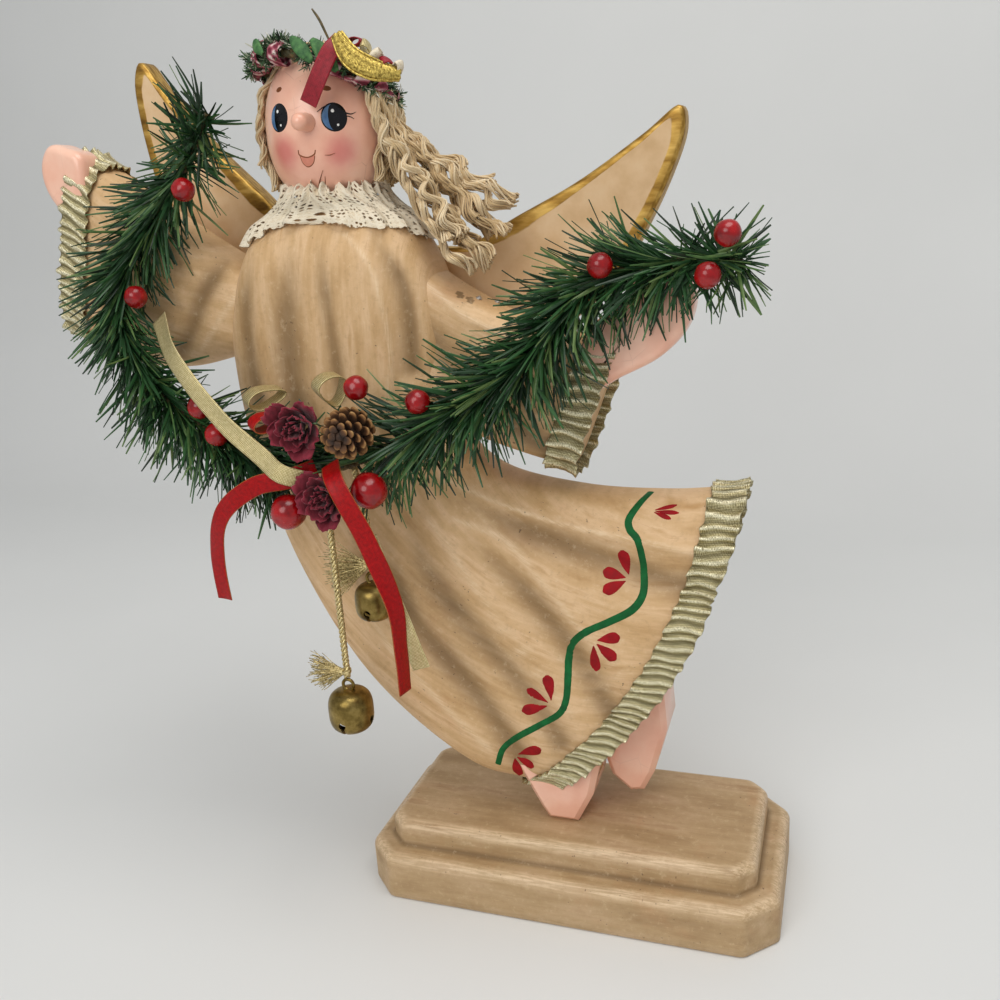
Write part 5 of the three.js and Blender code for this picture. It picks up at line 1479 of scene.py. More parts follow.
# %% Hair
def lock_of(guide, strands_in, spread, crimp, wavelength, rng, points=46, thick=1.0):
    """A loose ply: strands that share one crimp and wander a little round the guide."""
    line = smooth_line(guide, points)
    a, b = sides_of(line)
    length = distances(line)[-1]
    t = np.linspace(0, 1, points)
    start, tilt = rng.uniform(0, FULL_TURN), rng.uniform(0, FULL_TURN)
    grow = np.minimum(1, 0.25 + 2.2 * t)
    wave = crimp * np.sin(t * length / wavelength * FULL_TURN + start) * grow
    side = crimp * 0.6 * np.cos(t * length / wavelength * FULL_TURN * 0.9 + tilt) * grow
    lines, thicks, shades = [], [], []
    tone = rng.uniform(0.3, 0.8)
    for _ in range(strands_in):
        turn, reach = rng.uniform(0, FULL_TURN), spread * math.sqrt(rng.uniform(0, 1))
        spin = turn + t * length / 22 * FULL_TURN
        loose = 1 + 0.9 * np.maximum(0, t - 0.8) * 5
        x = wave + reach * np.cos(spin) * loose + 0.25 * np.sin(t * 9 + turn * 3)
        y = side + reach * np.sin(spin) * loose
        lines.append(line + x[:, None] * a + y[:, None] * b)
        thicks.append(thick * (1.05 - 0.35 * t))
        shades.append(np.clip(tone + rng.normal(0, 0.16) + 0 * t, 0, 1))
    return lines, thicks, shades


def hair_piece(name, guides, node, seed, **looks):
    rng = np.random.default_rng(seed)
    lines, thicks, shades = [], [], []
    for guide, strands_in, spread, crimp, wavelength in guides(rng):
        more = lock_of(guide, strands_in, spread, crimp, wavelength, rng, **looks)
        lines, thicks, shades = lines + more[0], thicks + more[1], shades + more[2]
    mesh = line_mesh(name, lines, thicks, shades)
    values = {"Thickness": STRAND_RADIUS * MM, "Finish": cotton_rope.material}
    run_tree(name, mesh, strands, values, [node])


# Where each lock leaves the head, front to back, and the rest of its fall.
HEAVY_LOCKS = [
    (-9, [(-44, -9, 228), (-31, -10, 208), (-20, -10, 197)]),
    (-5, [(-43, -5, 229), (-29, -6, 209), (-17, -5, 198)]),
    (-1, [(-41, -1, 231), (-27, -1, 214), (-15, -1, 203)]),
    (3, [(-41, 3, 233), (-25, 3, 220), (-13, 3, 212)]),
    (7, [(-42, 7, 235), (-25, 7, 226), (-11, 6, 222)]),
    (10, [(-45, 10, 233), (-32, 10, 219), (-21, 10, 209)]),
]


def heavy_locks(rng):
    for y, rest in HEAVY_LOCKS:
        out = math.sqrt(24.7 ** 2 - y * y)
        for _ in range(4):
            shift = np.array([rng.uniform(-1.5, 3.5), rng.uniform(-1.8, 1.8), rng.uniform(-2.5, 4.5)])
            short = rng.uniform(0.72, 1.02)
            start = np.array([HEAD[0] + out - 2.5, y, HEAD[2] + 10.5])
            run = [start, (HEAD[0] + out + 0.6, y, HEAD[2] - 1)] + [np.array(p) + shift for p in rest]
            run = even(smooth_line(run, 40), 40)[:int(40 * short)]
            yield run[::6], 17, 1.35, rng.uniform(1.6, 2.9), rng.uniform(10, 15)


def thin_locks(rng):
    for k in range(4):
        y = -8 + 2.6 * k
        out = math.sqrt(22.6 ** 2 - y * y)
        yield [(HEAD[0] - out + 1, y, HEAD[2] + 10), (HEAD[0] - out - 0.6, y, HEAD[2] + 2),
               (HEAD[0] - out - 0.8 - 0.5 * k, y, HEAD[2] - 9 - k)], 9, 0.9, 0.9, rng.uniform(8, 11)


def back_locks(rng):
    for degrees in np.linspace(72, 288, 26):
        fall = rng.uniform(-18.5, -15)
        yield [on_head(degrees, 24.5, 1.2), on_head(degrees + 3, 14, 2.2), on_head(degrees, 0, 2.6),
               on_head(degrees - 2, fall, 4.6)], 13, 1.15, 0.8, rng.uniform(8, 12)
    for degrees in np.linspace(0, 345, 16):
        low = 21.5 if math.cos(math.radians(degrees)) > 0.2 else 15.0
        yield [on_head(degrees, 26.7, 0.9), on_head(degrees, 25.8, 1.0), on_head(degrees, 12.5 + low / 2, 1.1),
               on_head(degrees + 4, low, 1.2)], 13, 1.3, 0.5, 9


hair_piece("hair_heavy_locks", heavy_locks, "hair_right", 31)
hair_piece("hair_thin_locks", thin_locks, "hair_left", 32, points=30)
hair_piece("hair_cap", back_locks, "hair_back", 33, points=24, thick=1.1)

# %% [markdown]
# The swag is two sprays of plastic pine: flat strips, about a millimetre wide, held in a twisted wire. A
# hair system could scatter them, but the strips lean the way the wire was twisted, from each tip towards the
# bow. So the script works out where each needle starts and which way it points, and a geometry tree stamps
# them.

# %% A tree that stamps one shape many times
def stamp_tree():
    work, take = new_tree("stamps", [("Shape", "NodeSocketObject"), ("Width", "NodeSocketFloat"),
                                     ("Finish", "NodeSocketMaterial")])
    shape = work.make("GeometryNodeObjectInfo", {"transform_space": "ORIGINAL"}, {"Object": take["Shape"]},
                      "Geometry")
    turn = work.make("FunctionNodeAlignRotationToVector", {"axis": "Z"},
                     {"Vector": marked(work, "way", "FLOAT_VECTOR")})
    upright_spin = work.make("ShaderNodeCombineXYZ", {}, {"Z": marked(work, "spin")})
    spin = work.make("FunctionNodeEulerToRotation", {}, {0: upright_spin})
    turn = work.make("FunctionNodeRotateRotation", {"rotation_space": "LOCAL"},
                     {"Rotation": turn, "Rotate By": spin})
    wide = marked(work, "wide") * take["Width"]
    size = work.make("ShaderNodeCombineXYZ", {}, {"X": wide, "Y": wide, "Z": marked(work, "reach")})
    stamps = work.make("GeometryNodeInstanceOnPoints", {}, {"Points": take["Geometry"], "Instance": shape,
                                                           "Rotation": turn, "Scale": size})
    solid = work.make("GeometryNodeRealizeInstances", {}, {"Geometry": stamps})
    solid = work.make("GeometryNodeSetMaterial", {}, {"Geometry": solid, "Material": take["Finish"]})
    work.make("NodeGroupOutput", {}, {"Geometry": solid})
    return work.tree


stamps = stamp_tree()


def stamped(name, shape, spots, ways, reach, width, finish, stands_for, rng):
    """Stamps a shape at every spot, pointing its own way, with widths, turns and shades by chance."""
    mesh = bpy.data.meshes.new(name)
    mesh.from_pydata(to_metres(spots).tolist(), [], [])
    count = len(spots)
    layer = mesh.attributes.new("way", "FLOAT_VECTOR", "POINT")
    layer.data.foreach_set("vector", np.asarray(ways, np.float32).ravel())
    mark_points(mesh, {"reach": reach * MM, "shade": rng.uniform(0, 1, count),
                       "wide": rng.uniform(0.75, 1.2, count), "spin": rng.uniform(0, FULL_TURN, count)})
    values = {"Shape": shape, "Width": width * MM, "Finish": finish.material}
    run_tree(name, mesh, stamps, values, stands_for)


def strip_shape(name, bend, taper):
    """A flat strip to stamp, one unit long and wide, with a fold down its middle and a bend near its end."""
    points = []
    for z, wide in zip((0, 0.35, 0.7, 1.0), (0.8, 1.0, 0.9, taper)):
        lean = bend * z ** 2
        points += [(x, lean + y, z) for x, y in ((-wide / 2, 0.05), (0, 0.22), (wide / 2, 0.05), (0, -0.10))]
    mesh = bpy.data.meshes.new(name)
    mesh.from_pydata(points, [], capped(4, 4))
    mesh.shade_flat()
    obj = in_scene(name, mesh)
    outward(obj)
    return obj


needle = strip_shape("needle_shape", 1.2, 0.45)
pine = Finish("plastic_pine", roughness=0.42)
pine_tone = 0.75 * pine.own("shade") + 0.25 * pine.grain(260, 2)
pine.coloured(pine_tone, (0.12, 18, 40, 20), (0.45, 32, 70, 36), (0.70, 48, 92, 46), (0.92, 112, 134, 76))
pine.bump(pine.grain(1500, 2), 0.15, 0.0002)
print("stamp tree and needle ready")

# %% [markdown]
# Each spray starts behind a hand and meets the other at the bow. A needle that would enter the wood is cut
# short, as the maker trims it, and one that would cover the bouquet or stop a bell from swinging is left
# out.

# %% Pine swag
SWAG = smooth_line([
    (-112, -17.9, 255), (-124, -15.9, 240), (-141, -15.9, 223), (-153, -22.9, 201), (-151, -28.9, 183),
    (-135, -33, 163), (-111, -36, 148), (-87, -38, 140), (-66, -38, 140), (-44, -38, 149), (-23, -35, 160),
    (-4, -29, 172), (8, -21.9, 187), (20, -16.9, 197), (36, -15.9, 199), (49, -15.9, 201),
    (62, -15.9, 199)], 900)
MEETING, NEEDLES_TRIED, NEEDLE_WIDTH = 0.53, 1550, 1.1
solid_trees = [surface_of(bpy.data.objects[name]) for name in (
    "gown_carved", "left_sleeve_carved", "right_sleeve_carved", "left_hand_mitten", "right_hand_mitten",
    "head_turned", "left_wing_board", "right_wing_board", "hem_lame", "left_cuff_lame", "right_cuff_lame")]
BOX_LOW, BOX_HIGH = (np.array(corner) / MM - (0, 0, PLINTH_TOP) for corner in solids_box)
BOX_HIGH[0] = 69
SWING_ROOM = [(np.array(UPPER_CORD[0]), 54, 9.5), (np.array(LOWER_CORD[0]), 92, 11)]
bouquet = [(middle_of(node)[0], middle_of(node)[1].max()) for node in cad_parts
           if "berry" in node or node in ("upper_rose", "lower_rose", "pinecone", "red_loop", "gold_loop_left",
                                          "gold_loop_right")]
RED_TAIL_LEFT_HAND = [(-63, -50, 144.5), (-57, -58.5, 140), (-49, -58, 122), (-43.5, -54.5, 100),
                      (-42.5, -54, 82), (-42.5, -54, 68)]
GOLD_SPAN = [(-134, -30.9, 190), (-118, -47, 177), (-102, -50, 159), (-87, -52, 147), (-79.5, -54, 142),
             (-73, -51, 139)]
OVER_NEEDLES = [[(-78, -52, 139), (-90, -54, 137), (-104, -53, 127), (-110, -51, 112)], RED_TAIL_LEFT_HAND[:3],
                GOLD_SPAN]
bouquet += [(spot, 3.4) for tail in OVER_NEEDLES for spot in smooth_line(tail, 16)]


def fitted(spots, ways, reach):
    """Shortens needles that would enter the wood or leave the box, and drops those in the way of the bells."""
    keep = []
    for k, (spot, way) in enumerate(zip(spots, ways)):
        for tree in solid_trees:
            _, _, _, gap = tree.ray_cast(Vector(to_metres([spot])[0]), Vector(way), reach[k] * MM)
            if gap is not None:
                reach[k] = min(reach[k], gap / MM - 0.4)
        room = np.where(way > 0, BOX_HIGH - spot, spot - BOX_LOW) / np.maximum(np.abs(way), 1e-6)
        reach[k] = min(reach[k], room.min())
        points = spot + way * np.linspace(0, reach[k], 6)[:, None]
        clear = reach[k] > 3
        for centre, radius in bouquet:
            over = np.linalg.norm((points - centre)[:, [0, 2]], axis=1) < radius
            clear = clear and not (over & (points[:, 1] < centre[1] + radius)).any()
        for top, fall, deep in SWING_ROOM:
            below = top[2] - points[:, 2]
            inside = (below > -1) & (below < fall) & (np.abs(points[:, 1] - top[1] - 2) < deep) \
                & (np.abs(points[:, 0] - top[0]) < 2.4 + 0.5 * np.maximum(below, 0) + 4 * (below > 20))
            clear = clear and not inside.any()
        keep.append(clear)
    return np.array(keep)


def spray(name, start, count, node, seed):
    rng = np.random.default_rng(seed)
    u = rng.uniform(0, 1, count)
    place = (start + (MEETING - start) * u) * (len(SWAG) - 1)
    row = np.clip(place.astype(int), 0, len(SWAG) - 2)
    spots = SWAG[row] + (SWAG[row + 1] - SWAG[row]) * (place - row)[:, None]
    along = unit(SWAG[row + 1] - SWAG[row]) * np.sign(MEETING - start)
    front = unit(np.array([0, -1, 0]) - along * (-along[:, 1])[:, None])
    side = np.cross(along, front)
    fan = np.radians(rng.uniform(-112, 112, count))[:, None]
    out = front * np.cos(fan) * 0.8 + side * np.sin(fan)
    hanging = np.clip(-out[:, 2], 0, 1)
    lean = rng.uniform(0.5, 1.5, count) - 0.55 * hanging
    tip = u < 0.12
    lean = np.where(tip & (rng.uniform(0, 1, count) < 0.6), -rng.uniform(0.2, 1.3, count), lean)
    ways = unit(out + along * lean[:, None] + rng.normal(0, 0.24, (count, 3)) + (0, 0, -0.12))
    reach = rng.uniform(15, 27, count) * np.where(rng.uniform(0, 1, count) < 0.12, 0.6, 1.0)
    reach = reach * np.where(tip, 0.8, 1.0)
    keep = fitted(spots, ways, reach)
    stamped(name, needle, spots[keep], ways[keep], reach[keep], NEEDLE_WIDTH, pine, [node], rng)


spray("pine_spray_right_hand", 0.0, NEEDLES_TRIED, "garland_left", 41)
spray("pine_spray_left_hand", 1.0, NEEDLES_TRIED, "garland_right", 42)

# %% [markdown]
# A twisted wire holds the needles, and shows in places between them. The berries are dipped beads on wires.
# A plain ball would look moulded, so each is rings of points pushed in and out a little, with the pit that a
# drip leaves.

# %% Wire and berries
bark = Finish("wire_and_bark", roughness=0.7)
bark_tone = bark.grain(500, 4)
bark.toned(bark_tone, [(0.3, 44, 50, 30), (0.55, 92, 78, 44), (0.8, 150, 120, 70)], 0.4)
piece_of(twisted(even(SWAG, 420), 2, 0.75, 0.62, 5.0), "swag_wire", bark, "pine")

dipped_red = Finish("dipped_red", roughness=0.2, Coat_Weight=0.15)
red_depth = dipped_red.grain(240, 3)
dipped_red.toned(red_depth, [(0.3, 112, 2, 8), (0.6, 160, 6, 14), (0.85, 184, 18, 22)], 0.08)
dipped_red.set("Roughness", 0.14 + 0.20 * red_depth)


def berry(node):
    centre, half = middle_of(node)
    radius = half.max()
    rng = np.random.default_rng(int(abs(centre[0]) * 10))
    ways = turned([(math.sin(a), math.cos(a)) for a in np.linspace(0.03, 3.1, 26)], np.zeros(3), 36)
    pit = unit(np.array([rng.uniform(-0.5, 0.5), -1, rng.uniform(-0.6, 0.2)]))
    near = ways @ pit
    bumps = 0.02 * np.sin(ways[..., 0] * 4 + centre[0]) * np.sin(ways[..., 2] * 5)
    size = radius * (0.98 + bumps - 0.10 * np.exp(-(1 - near) / 0.012) + 0.015 * np.exp(-(1 - near) / 0.05))
    piece(node + "_bead", centre + ways * size[..., None], faces_of(ways), dipped_red, "berry", [node])


for node in sorted(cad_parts):
    if "berry" in node and "stem" not in node:
        berry(node)

# %% [markdown]
# The bouquet is two dried rosebuds, a small larch cone and loops of ribbon. Petals are little cupped sheets
# set round a spiral, each crumpled its own way; the cone's scales sit on the same spiral with a wider step.

# %% Rosebuds
dried_rose = Finish("dried_rose", roughness=0.78, Sheen_Weight=0.2)
vein = dried_rose.noise(dried_rose.place(stretch=(1, 1, 0.4)), 800, 4)
blush = dried_rose.grain(150, 3)
dried_rose.coloured(0.45 * vein + 0.35 * blush + 0.3 * dried_rose.own("edge"), (0.28, 66, 4, 18),
                    (0.52, 112, 12, 34), (0.78, 142, 30, 52))
dried_rose.bump(vein, 0.6, 0.0005)
GOLDEN = math.pi * (3 - math.sqrt(5))
ROSE_PETALS = 17


def rosebud(node, seed):
    rng = np.random.default_rng(seed)
    centre, half = middle_of(node)
    radius = 1.12 * half.max()
    axis = unit(np.array([rng.uniform(-0.25, 0.25), -1, rng.uniform(-0.1, 0.3)]))
    across = unit(np.cross(axis, (0, 0, 1)))
    up = np.cross(across, axis)
    stock = Stock()
    v, s = shares(9, 11)
    for k in range(ROSE_PETALS):
        depth = k / (ROSE_PETALS - 1)
        turn = k * GOLDEN
        ring = radius * (0.10 + 0.72 * depth ** 0.8)
        tall = radius * rng.uniform(0.95, 1.25) * (1 - 0.25 * depth)
        width = 2.5 - 0.95 * depth + rng.uniform(-0.2, 0.2)
        flare = 0.02 + 0.36 * depth ** 2
        narrow = np.sqrt(np.clip(1 - (0.94 * v) ** 3.2, 0.03, 1)) * (0.55 + 0.45 * v ** 0.5)
        angle = turn + s * width / 2 * narrow * (1.15 - 0.2 * v)
        crumple = 0.035 * radius * (np.sin(5 * s + 4 * v + k) + np.sin(9 * v + 3 * s * k % 6)) * v
        reach = ring * (0.45 + 0.55 * np.sin(v * 1.5)) + radius * flare * v ** 3 + crumple
        height = -0.55 * radius + tall * v + 0.06 * radius * np.sin(6 * s + 2 * k) * v ** 2
        around = np.cos(angle)[..., None] * across + np.sin(angle)[..., None] * up
        points = centre + reach[..., None] * around + height[..., None] * axis
        stock.sheet(points, 0.28, edge=v ** 3)
    piece_of(stock, node + "_bud", dried_rose, "rose", [node])


rosebud("upper_rose", 51)
rosebud("lower_rose", 52)

# %% [markdown]
# The cone opens from its base to its tip. Its scales could be one bumpy surface, but each has a pale rim and
# a gap under it, so each is a cupped sheet of its own, with a core behind to close the view through.

# %% Larch cone
cone_finish = Finish("cone_scales", roughness=0.72)
scale_tone = cone_finish.grain(420, 4)
cone_finish.coloured(0.5 * scale_tone + 0.45 * cone_finish.own("rim"), (0.22, 42, 24, 12),
                     (0.45, 92, 58, 28), (0.68, 146, 102, 54), (0.88, 200, 164, 108))
cone_finish.bump(scale_tone, 0.6, 0.0004)


CONE_SCALES = 52


def larch_cone(node):
    centre, half = middle_of(node)
    rng = np.random.default_rng(53)
    radius, length = half[0], 2 * half[1]
    stock = Stock()
    core = []
    for t in np.linspace(0, 1, 14):
        r = max(0.05, 0.55 * radius * math.sin(math.pi * (0.08 + 0.9 * t)) ** 0.7)
        core.append([centre + (r * math.cos(a), length * (0.5 - t), r * math.sin(a)) for a in round_turn(18)])
    stock.add(core, faces_of(np.array(core)), rim=0.0)
    v, s = shares(6, 7)
    for k in range(CONE_SCALES):
        t = 0.10 + 0.88 * (k / (CONE_SCALES - 1)) ** 0.9
        girth = radius * math.sin(math.pi * (0.20 + 0.72 * t)) ** 0.8
        a = k * GOLDEN
        out = np.array([math.cos(a), 0, math.sin(a)])
        side = np.array([-math.sin(a), 0, math.cos(a)])
        tipward = np.array([0, -1.0, 0])
        lift = 0.55 + 0.9 * t
        wide = 2.5 * (1 - 0.35 * t) * np.sqrt(np.clip(1 - (0.92 * v) ** 3, 0.05, 1)) * (0.5 + 0.5 * v)
        way_out = girth * (0.35 + 0.62 * v) + 0.5 * v ** 3 - 0.35 * s ** 2 * v
        way_up = 4.2 * v ** 1.3 * lift * 0.6 + rng.uniform(-0.2, 0.2) * v
        points = (centre + (0, length * (0.5 - t), 0) + way_out[..., None] * out + (s * wide)[..., None] * side
                  + way_up[..., None] * tipward)
        points[..., 1] = np.maximum(points[..., 1], centre[1] - half[1] + 0.2)
        stock.sheet(points, 0.5, rim=v ** 4)
    piece_of(stock, "larch_cone", cone_finish, "cone", [node])


larch_cone("pinecone")

# %% [markdown]
# The ribbons are quarter-inch: red satin with gold thread along its edges, and gold mesh. They hang in the
# twist they were curled with, so each is a line with a direction for its width at every point.

# %% Ribbons
def ribbon_finish(name, stops, metallic, roughness, weave, edge=None, **constants):
    finish = Finish(name, roughness=roughness, metallic=metallic, **constants)
    spot = finish.uv()
    weft = finish.bands(spot, "X", 66, 0.9, 3)
    warp = finish.bands(spot, "Y", 62, 0.9, 3)
    tone = finish.noise(spot, 90, 3)
    colour = finish.ramp(weave * (weft + warp) + (1 - 2 * weave) * tone, *stops)
    if edge is not None:
        across = finish.make("ShaderNodeSeparateXYZ", {}, {"Vector": spot}, "Y")
        border = (abs(across - 0.032) - 0.0296).clear(0.0, 0.001)
        colour = finish.mix(border * weft.clear(0.3, 0.6), colour, edge)
    finish.set("Base Color", colour)
    finish.bump(weft * warp + 0.5 * tone, 0.15 + weave, 0.0002)
    return finish


red_satin = ribbon_finish("red_satin", [(0.2, 112, 0, 3), (0.5, 158, 0, 5), (0.85, 194, 4, 8)],
                          0.0, 0.36, 0.08, paint(176, 112, 52), Specular_IOR_Level=0.25)
gold_mesh = ribbon_finish("gold_mesh", [(0.2, 136, 118, 68), (0.5, 204, 186, 126), (0.85, 250, 240, 200)],
                          0.6, 0.34, 0.3)
crown_satin = ribbon_finish("dark_red_satin", [(0.2, 104, 4, 20), (0.5, 146, 10, 32), (0.85, 176, 28, 48)],
                            0.0, 0.5, 0.1)


def ribbon(name, line, widths, wide, finish, slot, stands_for, ripple=0.25, closed=False, count=90):
    """A ribbon along a line. widths says which way its width points, from start to end."""
    line = smooth_line(line, count, closed)
    turn = np.linspace(0, 1, len(widths))
    share = np.linspace(0, 1, count)
    across = np.stack([np.interp(share, turn, part) for part in np.array(widths, float).T], 1)
    tangent = unit(np.roll(line, -1, 0) - np.roll(line, 1, 0) if closed else np.gradient(line, axis=0))
    across = unit(across - tangent * (across * tangent).sum(1)[:, None])
    out = np.cross(tangent, across)
    s = np.linspace(-1, 1, 11)
    along = distances(line)
    cup = ripple * (s[None] ** 2 * np.sin(along / 7)[:, None] + 0.3 * np.sin(along / 3 + 1)[:, None])
    points = line[:, None] + across[:, None] * (s * wide / 2)[None, :, None] + out[:, None] * cup[..., None]
    points = np.swapaxes(points, 0, 1)
    shell, faces = strip_shell(points, closed, 0.3)
    piece(name, shell, faces, finish, slot, stands_for,
          uv=both_sides(along[None] * 0.01, (s[:, None] + 1) * wide / 2 * 0.01))


RIBBON_WIDE = 6.4
RED_TAIL_RIGHT_HAND = [(-70, -47, 142), (-78, -52, 139.5), (-90, -54, 137), (-104, -53, 127), (-110, -51, 112),
                       (-110, -50, 95)]
GOLD_TAIL_END = [(-53, -48.5, 120), (-48, -49, 104), (-42.5, -49.5, 88), (-38, -49.5, 75)]
for name, node, line, widths, finish in (
        ("red_tail_right_hand", "red_tail_left", RED_TAIL_RIGHT_HAND,
         [(-.1, 0, 1), (-.2, 0, 1), (-.4, 0, 1), (-.8, .2, .6), (-1, .2, 0), (-1, .2, 0)], red_satin),
        ("red_tail_left_hand", "red_tail_right", RED_TAIL_LEFT_HAND,
         [(1, .1, .4), (1, .2, .4), (1, .3, .3), (.6, .9, .1), (.3, 1, 0), (.2, 1, 0)], red_satin),
        ("gold_tail_end", "gold_tail", GOLD_TAIL_END,
         [(1, 0, .3), (1, 0, .2), (1, 0, .1), (1, 0, 0)], gold_mesh),
        ("gold_span_length", "gold_span", GOLD_SPAN,
         [(.6, .4, .8), (.7, 0, .8), (.7, 0, .8), (.7, 0, .8), (.6, .2, .8), (.6, .2, .8)], gold_mesh)):
    slot = "red_ribbon" if finish is red_satin else "gold_ribbon"
    ribbon(name, line, widths, RIBBON_WIDE, finish, slot, [node])


def bow_loop(name, node, finish, slot, knot=0.0):
    """A loop of ribbon, drawn out to where it is tied. knot says where on the ring that is."""
    centre, _ = middle_of(node)
    radius = 3.2 if "red" in node else 4.0
    turn = round_turn(12)
    lean = np.array(Matrix.Rotation(math.radians(15), 3, "X") @ Matrix.Rotation(math.radians(50), 3, "Z"))
    drawn = 0.9 * radius * np.maximum(0, np.cos(turn - knot)) ** 3
    ring = np.stack([1.2 * radius * np.cos(turn) + drawn * math.cos(knot), 0 * turn,
                     0.8 * radius * np.sin(turn) + drawn * math.sin(knot)], 1)
    ribbon(name, centre + ring @ lean.T, [lean[:, 1]] * 3, 6.2, finish, slot, [node], 0.15, True)


bow_loop("red_bow_loop", "red_loop", red_satin, "red_ribbon")
bow_loop("gold_bow_loop_right_hand", "gold_loop_left", gold_mesh, "gold_ribbon")
bow_loop("gold_bow_loop_left_hand", "gold_loop_right", gold_mesh, "gold_ribbon", -math.pi / 2)

# %% [markdown]
# The crown is a ring of wire wound with curled scraps: tiny moss sprigs, dusty pink wraps, leaves, a bit of
# gold braid, a dark red tail and a twig. The sprigs are many and alike, so the stamping tree makes them too.

# %% Crown
CROWN_TILT, CROWN_PUSHED_BACK = math.radians(12), math.radians(18)
CROWN_REACH = float(head_radius(11.0)) + 1.9
crown_turn = np.array(Matrix.Rotation(CROWN_TILT, 3, "Y") @ Matrix.Rotation(-CROWN_PUSHED_BACK, 3, "X"))
CROWN_MIDDLE = np.array([HEAD[0], HEAD[1], HEAD[2] + 16.0])


def on_crown(degrees, out=0.0, up=0.0):
    a = np.radians(np.asarray(degrees, float))
    flat = np.stack([(CROWN_REACH + out) * np.cos(a), (CROWN_REACH + out) * np.sin(a), up + 0 * a], -1)
    return CROWN_MIDDLE + flat @ crown_turn.T


moss = strip_shape("moss_shape", 0.9, 0.5)
moss_green = Finish("moss_sprig", roughness=0.7)
moss_green.coloured(moss_green.own("shade"), (0.1, 24, 44, 28), (0.5, 48, 84, 50), (0.8, 92, 120, 76),
                    (0.93, 206, 204, 186))
moss_green.bump(moss_green.grain(1800, 2), 0.3, 0.0002)
plaid = Finish("dusty_pink_wrap", roughness=0.88)
plaid_spot = plaid.place(turn=(0.3, 0.4, 0.6))
weave, cross_weave = (plaid.make("ShaderNodeTexWave", {"wave_type": "BANDS", "bands_direction": way},
                                 {"Vector": plaid_spot, "Scale": scale, "Distortion": 2.0})
                      for way, scale in (("X", 130), ("Z", 110)))
plaid.coloured(0.5 * weave + 0.5 * cross_weave, (0.2, 108, 30, 48), (0.45, 150, 62, 80),
               (0.7, 196, 136, 142), (0.9, 226, 206, 200))
plaid.bump(weave + cross_weave + plaid.noise(plaid_spot, 1400, 2), 0.5, 0.0004)
leaf_green = Finish("cloth_leaf", roughness=0.7)
leaf_vein = leaf_green.grain(600, 4)
leaf_green.toned(leaf_vein, [(0.3, 40, 84, 44), (0.6, 74, 122, 66), (0.85, 120, 152, 96)], 0.5)


def crown():
    rng = np.random.default_rng(61)
    ring = on_crown(np.linspace(0, 360, 160))
    piece_of(twisted(ring, 3, 0.8, 0.7, 6.0), "crown_wire_ring", bark, "pine", ["crown_wreath"])
    spots, ways, reach = [], [], []
    for degrees in np.linspace(0, 360, 190, endpoint=False):
        degrees, rise = degrees + rng.uniform(-3, 3), math.radians(rng.uniform(-75, 165))
        base = on_crown(degrees)
        out = unit(on_crown(degrees, 5) - base)
        tangent = np.cross(crown_turn[:, 2], out)
        lean = unit(out * math.cos(rise) + crown_turn[:, 2] * math.sin(rise) + tangent * rng.uniform(-0.8, 0.8))
        stem = rng.uniform(3.2, 5.8)
        for _ in range(24):
            spots.append(base + lean * stem * rng.uniform(0.25, 1))
            ways.append(unit(unit(rng.normal(0, 1, 3)) + lean * 0.8))
            reach.append(rng.uniform(1.4, 3.4))
    spots, ways, reach = np.array(spots), np.array(ways), np.array(reach)
    keep = fitted(spots, ways, reach) | (reach > 0.8)
    stamped("crown_sprigs", moss, spots[keep], ways[keep], reach[keep], 0.45, moss_green, (), rng)
    wraps = Stock()
    for degrees in (-158, -128, -104, -52, -34, -10, 20, 60, 100, 140, 170):
        turns = np.linspace(0, 2.2 * math.pi, 46) + rng.uniform(0, 6)
        spread = np.linspace(-6, 6, 46)
        reach = 3.7 + 0.45 * np.sin(3 * turns + degrees) + rng.uniform(-0.1, 0.1, 46)
        line = on_crown(degrees + spread, reach * np.cos(turns), reach * np.sin(turns))
        along = unit(on_crown(degrees + 3) - on_crown(degrees - 3))
        s = np.linspace(-1, 1, 7)
        sheet = line[None] + along * (s * 2.3)[:, None, None] + rng.normal(0, 0.1, (7, 46, 3))
        wraps.sheet(sheet, 0.3)
    piece_of(wraps, "crown_pink_wraps", plaid, "red_ribbon")
    leaves = Stock()
    for degrees, size in ((-80, 5.2), (-64, 6.0), (-118, 4.2), (40, 5.0), (120, 5.0)):
        base, out = on_crown(degrees, 4.6), unit(on_crown(degrees, 5) - on_crown(degrees))
        tangent = np.cross(crown_turn[:, 2], out)
        v, s = shares(12, 7)
        wide = 0.42 * size * np.sin(math.pi * (0.06 + 0.88 * v)) ** 0.8
        points = (base + (v * size * 2 - size)[..., None] * (tangent * 0.8 - crown_turn[:, 2] * 0.6)
                  + (s * wide)[..., None] * (crown_turn[:, 2] * 0.8 + tangent * 0.6)
                  + (0.8 * np.sin(math.pi * v) - 0.3 * s ** 2 + 0.15 * np.sin(12 * v))[..., None] * out)
        leaves.sheet(points, 0.3)
    piece_of(leaves, "crown_leaves", leaf_green, "pine")


crown()
crown_front = np.array([HEAD[0], -CROWN_REACH - 1.6, HEAD[2]])
CROWN_TAIL = np.array([(18, 3, 25), (15.5, -1, 21), (11.5, -2.5, 14), (6.5, -1.5, 7)])
ribbon("crown_red_tail", crown_front + CROWN_TAIL, [(0.8, 0.3, -0.5)] * 4, 5.4, crown_satin, "red_ribbon",
       ["crown_ribbon"], 0.08)
braid_gold = gold_thread("crown_braid_thread", (116, 92, 32), (220, 194, 102))


BRAID_LINE = np.array([(19, -25, 25.5), (23, -25.5, 19), (29, -24, 15), (36, -19, 13)])


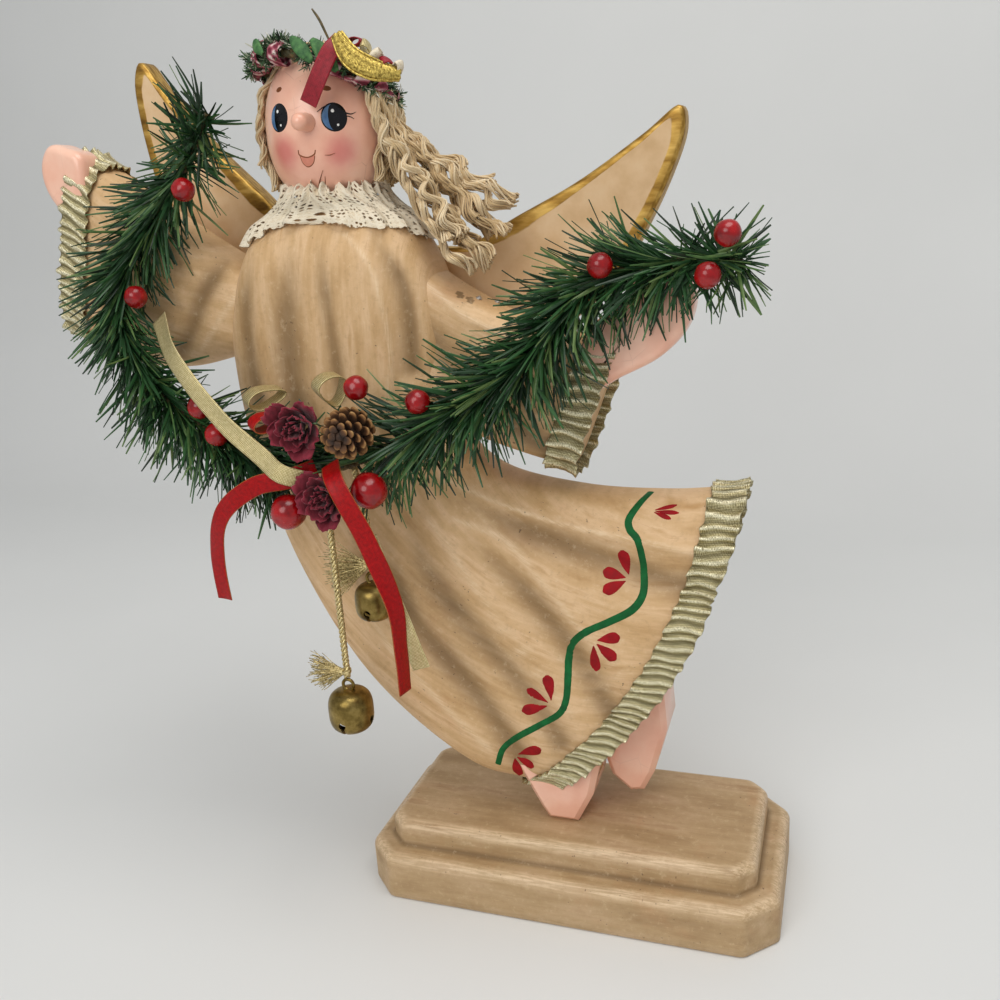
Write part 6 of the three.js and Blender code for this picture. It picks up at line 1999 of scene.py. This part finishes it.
def braid(node):
    """A padded length of braid laid on the sprigs: gold cords crossing over, with folded scraps behind it."""
    line = smooth_line(HEAD + BRAID_LINE, 150)
    flat = unit(np.cross(np.gradient(line, axis=0), (0.25, -1, 0.25)))
    proud = np.cross(flat, unit(np.gradient(line, axis=0)))
    turn = np.linspace(0, 9 * 2 * math.pi, 150)
    belly = 0.72 + 0.6 * np.sin(math.pi * np.linspace(0, 1, 150))
    stock = Stock()
    for lane in (-1.1, 0, 1.1):
        stock.tube(line + flat * (lane * belly)[:, None], 0.45 * belly, 7)
    for k in range(6):
        phase = turn + k * math.pi / 3
        weave_over = flat * (1.9 * belly * np.sin(phase))[:, None] + proud * (0.8 * np.cos(phase))[:, None]
        stock.tube(line + weave_over, 0.46, 7)
    for edge in (-2.4, 2.4):
        stock.tube(line + flat * (edge * belly)[:, None], 0.42, 6)
    piece_of(stock, "crown_gold_braid", braid_gold, "gold_cord", [node])
    rng = np.random.default_rng(62)
    turn = round_turn(9)
    for k, finish in enumerate((crown_satin, gold_mesh, lace, crown_satin, lace)):
        twist = np.array(Matrix.Rotation(k * 1.3, 3, "Y") @ Matrix.Rotation(k * 0.7, 3, "Z"))
        fold = np.stack([2.3 * np.cos(turn), 0 * turn, 1.3 * np.sin(turn)], 1) @ twist.T
        spot = HEAD + (23.5 + 2.9 * k, -22 + 0.9 * k, 23.2 - 2.1 * k + rng.uniform(-0.6, 0.6))
        slot = "lace" if finish is lace else "red_ribbon" if finish is crown_satin else "gold_ribbon"
        ribbon(f"crown_fold_{k + 1}", spot + fold, [twist[:, 1]] * 3, 3.6, finish, slot, (), 0.3, True, 40)


braid("crown_braid")
twig = Stock()
twig_line = [on_crown(-58, 2, 3), on_crown(-66, 2, 7), on_crown(-74, 2, 11), on_crown(-82, 1, 14)]
twig.tube(smooth_line(twig_line, 24), np.linspace(0.3, 0.55, 24) - 0.3 * np.linspace(0, 1, 24) ** 6, 7)
piece_of(twig, "crown_twig", bark, "pine")
for shape in (needle, moss):
    bpy.data.objects.remove(shape)
